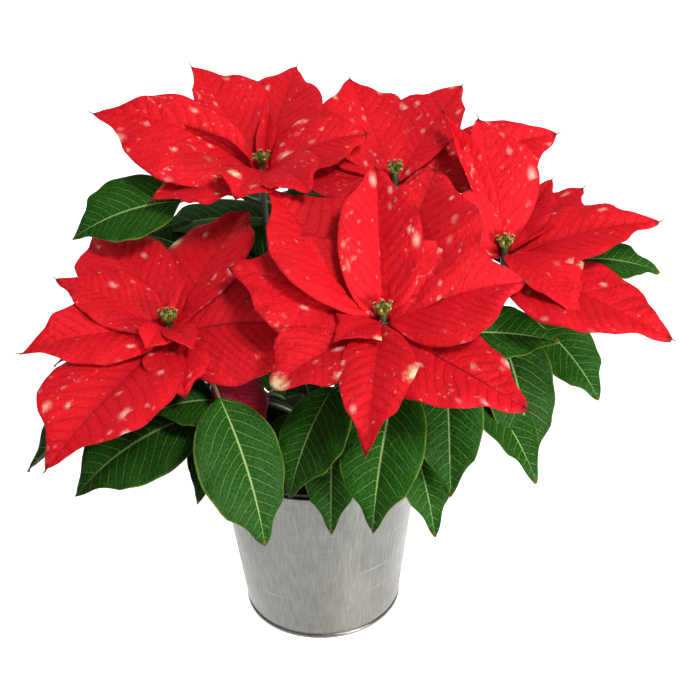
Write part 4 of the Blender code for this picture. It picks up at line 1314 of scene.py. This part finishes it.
@dataclass
class FlowerHead:
    """One head dressed: its leafy shoot, its bracts and its bud cluster."""

    head: Head
    stem: WoodyStem
    trees: GrowthTrees
    random: np.random.Generator
    materials: dict

    def shoot_point(self, t: float) -> Vector:
        """Return the point at share t along the shoot."""
        start, way = self.stem.leave(self.head)
        start = start + way * 0.3
        end = self.head.foot() - UP * 0.6
        span = (end - start).length
        near = start + way * (0.45 * span)
        far = end - UP * (0.4 * span)
        r = 1.0 - t
        return start * r ** 3 + near * (3 * r * r * t) + far * (3 * r * t * t) + end * t ** 3

    def stalked(self, leaf: Leaf, start: Vector) -> BladeSheet:
        """Return the sheet of a blade on a long petiole."""
        base = Vector(leaf.base)
        blade = leaf.blade
        tip = base + direction(blade.az, blade.rise) * blade.length
        return BladeSheet(blade, start, base, tip, float(self.random.random()))

    def bract(self, blade: Blade) -> BladeSheet:
        """Return the sheet of a bract, whose tip is placed from the head's centre."""
        centre = Vector(self.head.centre)
        ring = centre + direction(blade.az, 0.0) * self.head.bract_ring
        tip = ring + direction(blade.az, blade.rise) * blade.length
        drop = UP * blade.drop
        return BladeSheet(blade, centre - drop, ring - drop, tip, float(self.random.random()))

    def dress(self, name: str, sheets: list[BladeSheet], stems: list, skin: str, rind: str,
              relief: dict[str, float], awned_from: float = 50.0) -> bpy.types.Object:
        """Build blades, their stalks and the stem that carries them as one piece.

        Args:
            name: Name of the piece.
            sheets: Blades.
            stems: Points and radii of the carrying stem.
            skin: Key of the blades' material.
            rind: Key of the stalks' material.
            relief: Depths for the blades' relief, in metres.
            awned_from: Least length of a blade that ends in an awn.

        Returns:
            The joined piece.
        """
        values = dict(relief, Seed=float(self.random.random() * 20.0),
                      Material=self.materials[skin])
        blades = grow(name, sheets_object(name + "_sheets", sheets), self.trees.relief, values)
        paths = [each.stalk() for each in sheets]
        stalks = grow(name + "_stalks", curves_object(name + "_paths", paths),
                      self.trees.sweep,
                      {"Sides": 10, "Knobs": 0.0003, "Knob Scale": 260.0,
                       "Material": self.materials[rind]})
        stem = grow(name + "_stem", curves_object(name + "_axis", stems), self.trees.sweep,
                    {"Sides": 14, "Knobs": 0.0004, "Knob Scale": 260.0,
                     "Material": self.materials["shoot"]})
        made = [blades, stalks, stem]
        awns = [each.awn() for each in sheets if each.blade.length > awned_from]
        if awns:
            made.append(grow(name + "_awns", curves_object(name + "_hooks", awns),
                             self.trees.sweep,
                             {"Sides": 6, "Knobs": 0.0001, "Knob Scale": 300.0,
                              "Material": self.materials["awn"]}))
        return join(name, made)

    def build_leaves(self) -> bpy.types.Object:
        """Build the leafy shoot."""
        shares = [i / 24 for i in range(25)]
        stem = ([self.shoot_point(t) for t in shares],
                [2.8 - 0.5 * t + 0.25 * math.cos(math.pi * 8 * t) ** 8 for t in shares])
        sheets = [self.stalked(leaf, self.shoot_point(leaf.at)) for leaf in self.head.leaves]
        return self.dress("green_shoot_" + self.head.key, sheets, [stem], "leaf", "leaf_stalk",
                          {"Pleat": 0.0011, "Ruffle": 0.0010, "Pucker": 0.0030}, awned_from=500.0)

    def build_bracts(self) -> bpy.types.Object:
        """Build the red bracts with the stem section that carries them."""
        foot = self.head.foot()
        centre = Vector(self.head.centre)
        stem = ([foot.lerp(centre, t / 6) for t in range(7)],
                [2.4, 2.5, 2.6, 2.6, 2.6, 2.6, 2.6])
        sheets = [self.bract(blade) for blade in self.head.bracts]
        for leaf in self.head.stalked_bracts:
            sheets.append(self.stalked(leaf, foot.lerp(centre, leaf.at)))
        return self.dress("red_bracts_" + self.head.key, sheets, [stem], "bract",
                          "bract_stalk", {"Pleat": 0.0017, "Ruffle": 0.0009,
                                          "Pucker": 0.0048})

    def build_buds(self) -> bpy.types.Object:
        """Build the bud cluster from cups, nectar lips, styles and anthers."""
        head = self.head
        foot = Vector(head.centre) + UP * 0.3
        rise = UP * (2.6 + 3.2 - 1.2)
        spots = [(foot + rise + UP * 0.6, UP, 1.0)]
        for i in range(head.buds - 1):
            out = direction(head.bud_turn + 360.0 * i / (head.buds - 1), 0.0)
            spots.append((foot + rise + out * 4.0 - UP * 0.6, (out * 0.55 + UP).normalized(),
                          1.0 - 0.08 * (i % 3)))
        parts = CyathiumParts()
        made = []
        for part, key in ((parts.cup(), "cup"), (parts.lip(), "lip"),
                          (parts.styles(), "style"), (parts.anthers(), "anther")):
            mesh = bpy.data.meshes.new("cluster")
            mesh.from_pydata([tuple(spot * MM) for spot, _, _ in spots], [], [])
            mesh.attributes.new("turn", "FLOAT_VECTOR", "POINT")
            mesh.attributes.new("size", "FLOAT", "POINT")
            for i, (_, lean, scale) in enumerate(spots):
                tilt = UP.rotation_difference(lean)
                spin = Euler((0.0, 0.0, 1.3 * i)).to_quaternion()
                mesh.attributes["turn"].data[i].vector = (tilt @ spin).to_euler()
                mesh.attributes["size"].data[i].value = scale
            made.append(grow(f"{key}_{head.key}", place("cluster", mesh), self.trees.cluster,
                             {"Part": part, "Material": self.materials[key]}))
            bpy.data.objects.remove(part, do_unlink=True)
        cushion = lathe("cushion", [(0.0, 0.3), (3.2, 0.3), (3.7, 1.4), (3.2, 2.7), (0.0, 3.2)],
                        24)
        cushion.data.transform(Matrix.Translation(Vector(head.centre) * MM))
        cushion.data.materials.append(self.materials["cup"])
        made.append(cushion)
        return join("yellow_buds_" + head.key, made)


@dataclass(frozen=True)
class CyathiumParts:
    """Parts of one bud, built round its middle: cup, nectar lip, styles and anthers."""

    radius: float = 2.3
    height: float = 6.4
    style_count: int = 6

    def cup(self) -> bpy.types.Object:
        """Turn the ribbed green cup."""
        low = -0.5 * self.height
        profile = [(0.0, low), (1.5, low + 0.1), (2.1, low + 1.2), (self.radius, low + 2.6),
                   (2.15, low + 4.2), (1.7, low + 5.5), (1.55, low + 6.1), (1.2, low + 6.0),
                   (0.9, low + 5.4), (0.0, low + 5.1)]
        angles = np.arange(30) * 2.0 * np.pi / 30
        push = np.outer(np.linspace(0.3, 1.0, len(profile)), 0.12 * np.cos(5.0 * angles))
        return lathe("cup_part", profile, 30, push)

    def lip(self) -> bpy.types.Object:
        """Build the thick two-lipped nectar cup on one side."""
        shell = bmesh.new()
        bmesh.ops.create_icosphere(shell, subdivisions=3, radius=1.0)
        for vert in shell.verts:
            x, y, z = vert.co
            dent = 0.55 * math.exp(-(z * z) / 0.09) * max(0.0, x)
            vert.co = (x * 1.0 - dent, y * 1.35, z * 0.9)
            vert.co = (vert.co + Vector((2.3, 0.0, 1.5))) * MM
        mesh = bpy.data.meshes.new("lip_part")
        shell.to_mesh(mesh)
        shell.free()
        return place("lip_part", mesh)

    def style_ends(self) -> list[tuple[Vector, Vector]]:
        """Return the foot and end of each style."""
        ends = []
        top = 0.5 * self.height
        for i in range(self.style_count):
            out = direction(360.0 * i / self.style_count + 15.0 * (i % 2), 0.0)
            reach = 0.7 + 0.5 * (i % 3) / 2.0
            ends.append((Vector((0, 0, top - 1.2)) + out * 0.4,
                         Vector((0, 0, top + 0.9 + 0.4 * (i % 2))) + out * reach))
        return ends

    def styles(self) -> bpy.types.Object:
        """Build the thin red styles as tapered rods."""
        shell = bmesh.new()
        for foot, end in self.style_ends():
            made = bmesh.ops.create_cone(shell, cap_ends=True, segments=6, radius1=0.24,
                                         radius2=0.16, depth=(end - foot).length)
            tilt = UP.rotation_difference(end - foot).to_matrix()
            bmesh.ops.rotate(shell, verts=made["verts"], matrix=tilt)
            bmesh.ops.translate(shell, verts=made["verts"], vec=(foot + end) * 0.5)
        bmesh.ops.scale(shell, verts=shell.verts, vec=(MM, MM, MM))
        mesh = bpy.data.meshes.new("style_part")
        shell.to_mesh(mesh)
        shell.free()
        return place("style_part", mesh)

    def anthers(self) -> bpy.types.Object:
        """Build the small yellow anthers on the styles' ends."""
        shell = bmesh.new()
        for _, end in self.style_ends():
            made = bmesh.ops.create_icosphere(shell, subdivisions=2, radius=0.36)
            bmesh.ops.translate(shell, verts=made["verts"], vec=end)
        bmesh.ops.scale(shell, verts=shell.verts, vec=(MM, MM, MM))
        mesh = bpy.data.meshes.new("anther_part")
        shell.to_mesh(mesh)
        shell.free()
        return place("anther_part", mesh)


# Pot and soil


@dataclass
class PotAndSoil:
    """Zinc cover pot, plastic growing pot and the peat in it."""

    trees: GrowthTrees
    height: float = 139.0
    top_radius: float = 76.0
    base_radius: float = 59.0
    wall: float = 1.2
    floor: float = 1.6
    liner_rise: float = 2.6
    liner_wall: float = 1.4
    clearance: float = 1.3
    soil_top: float = 127.0
    soil_crown: float = 2.0
    soil_depth: float = 96.0

    def radius(self, height: float) -> float:
        """Return the zinc pot's outer radius at a height."""
        return self.base_radius + (self.top_radius - self.base_radius) * height / self.height

    def liner_radius(self, height: float) -> float:
        """Return the growing pot's outer radius at a height."""
        return self.radius(height) - self.wall - self.clearance

    def build_pot(self) -> bpy.types.Object:
        """Turn the zinc pot with its rolled hem, crimped foot and lapped back seam."""
        top = self.height
        inner = self.radius(top) - self.wall
        profile = [(0.0, self.floor), (self.radius(self.floor) - self.wall - 1.0, self.floor),
                   (self.radius(self.floor + 1.0) - self.wall, self.floor + 1.0),
                   (inner, top - 1.2)]
        # Rolled hem
        for i in range(13):
            angle = math.pi * (1.0 - i / 12)
            profile.append((inner + 0.95 + 0.95 * math.cos(angle),
                            top - 0.95 + 0.95 * math.sin(angle)))
        profile += [(self.radius(top) + 0.7, top - 1.7), (self.radius(top) + 0.3, top - 2.3)]
        for i in range(24):
            share = i / 23
            height = (top - 2.8) * (1.0 - share) + 6.0 * share
            profile.append((self.radius(height), height))
        profile += [(self.radius(5.2) - 0.3, 5.2), (self.radius(4.6) - 0.7, 4.6),
                    (self.radius(4.0) - 0.6, 4.0)]
        for i in range(13):
            angle = math.pi * (0.5 - i / 12)
            profile.append((self.base_radius - 0.9 + 1.7 * math.cos(angle),
                            1.9 + 1.8 * math.sin(angle)))
        profile += [(self.base_radius - 2.0, 0.05), (self.base_radius - 3.0, 0.0), (0.0, 0.0)]
        segments = 192
        angles = np.degrees(np.arange(segments) * 2.0 * np.pi / segments)
        seam = np.clip(1.0 - np.abs(angles - 97.0) / 3.0, 0.0, 1.0) ** 0.3 * 0.45
        dent = 0.18 * np.sin(np.radians(angles) * 3.0 + 0.7) + 0.1 * np.sin(
            np.radians(angles) * 7.0)
        heights = np.array([p[1] for p in profile])
        wall = ((np.arange(len(profile)) > 16) & (heights > 5.5) & (heights < top - 2.5))
        body = np.clip(np.minimum(heights - 6.0, top - 4.0 - heights) / 30.0, 0.0, 1.0)
        push = np.outer(wall, seam) + np.outer(wall * body, dent)
        pot = lathe("zinc_pot", profile, segments, push)
        pot.data.materials.append(Zinc().material())
        return pot

    def build_liner(self) -> bpy.types.Object:
        """Turn the growing pot with its rounded lip."""
        top = self.height + self.liner_rise
        floor = self.floor + 0.3
        lip = self.top_radius - self.wall - 0.6
        profile = [(0.0, floor + self.liner_wall),
                   (self.liner_radius(floor + self.liner_wall) - self.liner_wall,
                    floor + self.liner_wall)]
        inner = self.liner_radius(top) - self.liner_wall
        profile.append((inner, top - 0.9))
        for i in range(9):
            angle = math.pi * (1.0 - i / 8)
            middle = 0.5 * (inner + lip)
            profile.append((middle + (lip - middle) * math.cos(angle),
                            top - 0.8 + 0.8 * math.sin(angle)))
        profile += [(lip, self.height), (lip - 0.5, self.height - 3.5),
                    (self.liner_radius(self.height - 4.0), self.height - 4.0),
                    (self.liner_radius(floor), floor), (0.0, floor)]
        liner = lathe("growing_pot", profile, 128)
        liner.data.materials.append(PotPlastic().material())
        return liner

    def build_soil(self) -> bpy.types.Object:
        """Build the crowned peat with its crumbs as one piece."""
        low = self.soil_top - self.soil_depth
        edge = self.liner_radius(self.soil_top) - self.liner_wall - 0.3
        profile = [(0.0, self.soil_top + self.soil_crown)]
        for i in range(1, 24):
            share = i / 24
            profile.append((edge * share, self.soil_top + self.soil_crown
                            * math.cos(0.5 * math.pi * share)))
        profile += [(edge, self.soil_top),
                    (self.liner_radius(low) - self.liner_wall - 0.3, low), (0.0, low)]
        peat = Peat().material()
        base = lathe("peat", profile, 96)
        for vert in base.data.vertices:
            if vert.co.z > (self.soil_top - 2.0) * MM:
                x, y = vert.co.x / MM, vert.co.y / MM
                vert.co.z += MM * (0.5 * math.sin(0.31 * x + 0.2 * y)
                                   + 0.4 * math.sin(0.53 * y - 0.27 * x) - 0.3)
        base.data.materials.append(peat)
        source = place("crumb_source", base.data.copy())
        crumbs = grow("peat_crumbs", source, self.trees.scatter,
                      {"Density": 90000.0, "Least": 0.0005, "Most": 0.0019, "Seed": 4,
                       "Material": peat})
        return join("peat", [base, crumbs])


# Studio


@dataclass(frozen=True)
class Studio:
    """Pale floor, soft light and the camera at the photograph's angle."""

    eye: tuple = (0.0, -0.750, 0.617)
    yaw: float = 1.81
    pitch: float = 28.2
    roll: float = -1.3
    focal_pixels: float = 1200.0
    frame_pixels: float = 696.0
    sky_low: float = 0.04
    sky_high: float = 0.38
    key_power: float = 25.0
    fill_power: float = 2.0
    back_power: float = 16.0
    side_power: float = 10.0

    def camera(self) -> None:
        """Place the camera."""
        yaw, pitch, roll = (math.radians(v) for v in (self.yaw, self.pitch, self.roll))
        ahead = Vector((math.sin(yaw) * math.cos(pitch), math.cos(yaw) * math.cos(pitch),
                        -math.sin(pitch)))
        level = ahead.cross(UP).normalized()
        head = level.cross(ahead)
        right = level * math.cos(roll) + head * math.sin(roll)
        up = head * math.cos(roll) - level * math.sin(roll)
        data = bpy.data.cameras.new("camera")
        data.sensor_width = 36.0
        data.lens = 36.0 * self.focal_pixels / self.frame_pixels
        camera = place("camera", data)
        pose = Matrix((right, up, -ahead)).transposed().to_4x4()
        pose.translation = Vector(self.eye)
        camera.matrix_world = pose
        bpy.context.scene.camera = camera

    def floor(self) -> None:
        """Build the pale floor."""
        mesh = bpy.data.meshes.new("floor")
        half = 20.0
        mesh.from_pydata([(-half, -half, 0), (half, -half, 0), (half, half, 0),
                          (-half, half, 0)], [], [(0, 1, 2, 3)])
        floor = place("floor", mesh)
        material, tree = new_material("matt white paper")
        paper = add(tree, "ShaderNodeBsdfPrincipled",
                    {"Base Color": linear("F4F4F4"), "Roughness": 0.9,
                     "Specular IOR Level": 0.1, "Emission Color": linear("FFFFFF"),
                     "Emission Strength": 0.8})
        add(tree, "ShaderNodeOutputMaterial", (paper,))
        mesh.materials.append(material)
        floor.visible_diffuse = False

    def lights(self) -> None:
        """Light the scene with a pale sky, a soft key from the right and a weak fill."""
        world = bpy.data.worlds.new("studio")
        world.use_nodes = True
        tree = world.node_tree
        tree.nodes.clear()
        # The sky is brightest overhead, and the backdrop behind the plant stays white
        way = add(tree, "ShaderNodeTexCoord")
        height = add(tree, "ShaderNodeSeparateXYZ", (way,), out=2)
        sky = add(tree, "ShaderNodeMapRange",
                  {"Value": height, "From Min": -0.3, "From Max": 0.9, "To Min": self.sky_low,
                   "To Max": self.sky_high})
        seen = add(tree, "ShaderNodeLightPath")
        strength = add(tree, "ShaderNodeMath", (sky, seen), operation="MAXIMUM")
        back = add(tree, "ShaderNodeBackground", (None, strength))
        tree.nodes[-1].inputs["Color"].default_value = (1.0, 1.0, 1.0, 1.0)
        add(tree, "ShaderNodeOutputWorld", (back,))
        bpy.context.scene.world = world
        for name, spot, power, size in (
            ("key", (0.75, -0.95, 1.75), self.key_power, 0.45),
            ("fill", (-1.1, -1.0, 0.9), self.fill_power, 1.2),
            ("side", (0.64, -0.72, 0.20), self.side_power, 0.24),
            ("back", (-0.5, 1.5, 1.0), self.back_power, 1.0),
        ):
            data = bpy.data.lights.new(name, "AREA")
            data.energy = power
            data.size = size
            light = place(name, data)
            # The back light only brightens the far side; its sheen would veil the leaves
            light.visible_glossy = name != "back"
            aim = Vector((0.0, 0.0, 0.2)) - Vector(spot)
            light.matrix_world = (Matrix.Translation(spot)
                                  @ aim.to_track_quat("-Z", "Y").to_matrix().to_4x4())
        bpy.context.scene.view_settings.view_transform = "Standard"


def main() -> None:
    """Load the frame and build every piece on it."""
    logging.basicConfig(level=logging.INFO, format="%(message)s")
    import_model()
    studio = Studio()
    studio.camera()
    studio.lights()
    studio.floor()
    trees = GrowthTrees()
    pot = PotAndSoil(trees)
    hand_over(pot.build_pot(), "pot")
    hand_over(pot.build_liner(), "grow_pot")
    hand_over(pot.build_soil(), "soil")
    stem = WoodyStem(trees)
    hand_over(stem.build(), "trunk")
    materials = {
        "bract": BRACT_SKIN.material(),
        "leaf": LEAF_SKIN.material(),
        "shoot": StalkRind("green shoot rind", "1C2A0E", "30421C").material(),
        "leaf_stalk": StalkRind("green petiole rind", "2E4616", "7FA05E").material(),
        "bract_stalk": StalkRind("reddened petiole rind", "7A1420", "A81420").material(),
        "awn": StalkRind("dried awn", "7A1218", "340A0A", 0.6).material(),
        "cup": BudSkin("waxy bud cup", "424E14", "78822E").material(),
        "lip": BudSkin("nectar lip", "8C7420", "C0AE5C").material(),
        "style": BudSkin("red style", "5E1210", "8A2A20").material(),
        "anther": BudSkin("pollen anther", "A89A4C", "D4C88C", 0.7).material(),
    }
    random = np.random.default_rng(11)
    for head in HEADS:
        flower = FlowerHead(head, stem, trees, random, materials)
        hand_over(flower.build_leaves(), "leaves_" + head.key)
        hand_over(flower.build_bracts(), "bracts_" + head.key)
        hand_over(flower.build_buds(), "buds_" + head.key)


if __name__ == "__main__":
    main()
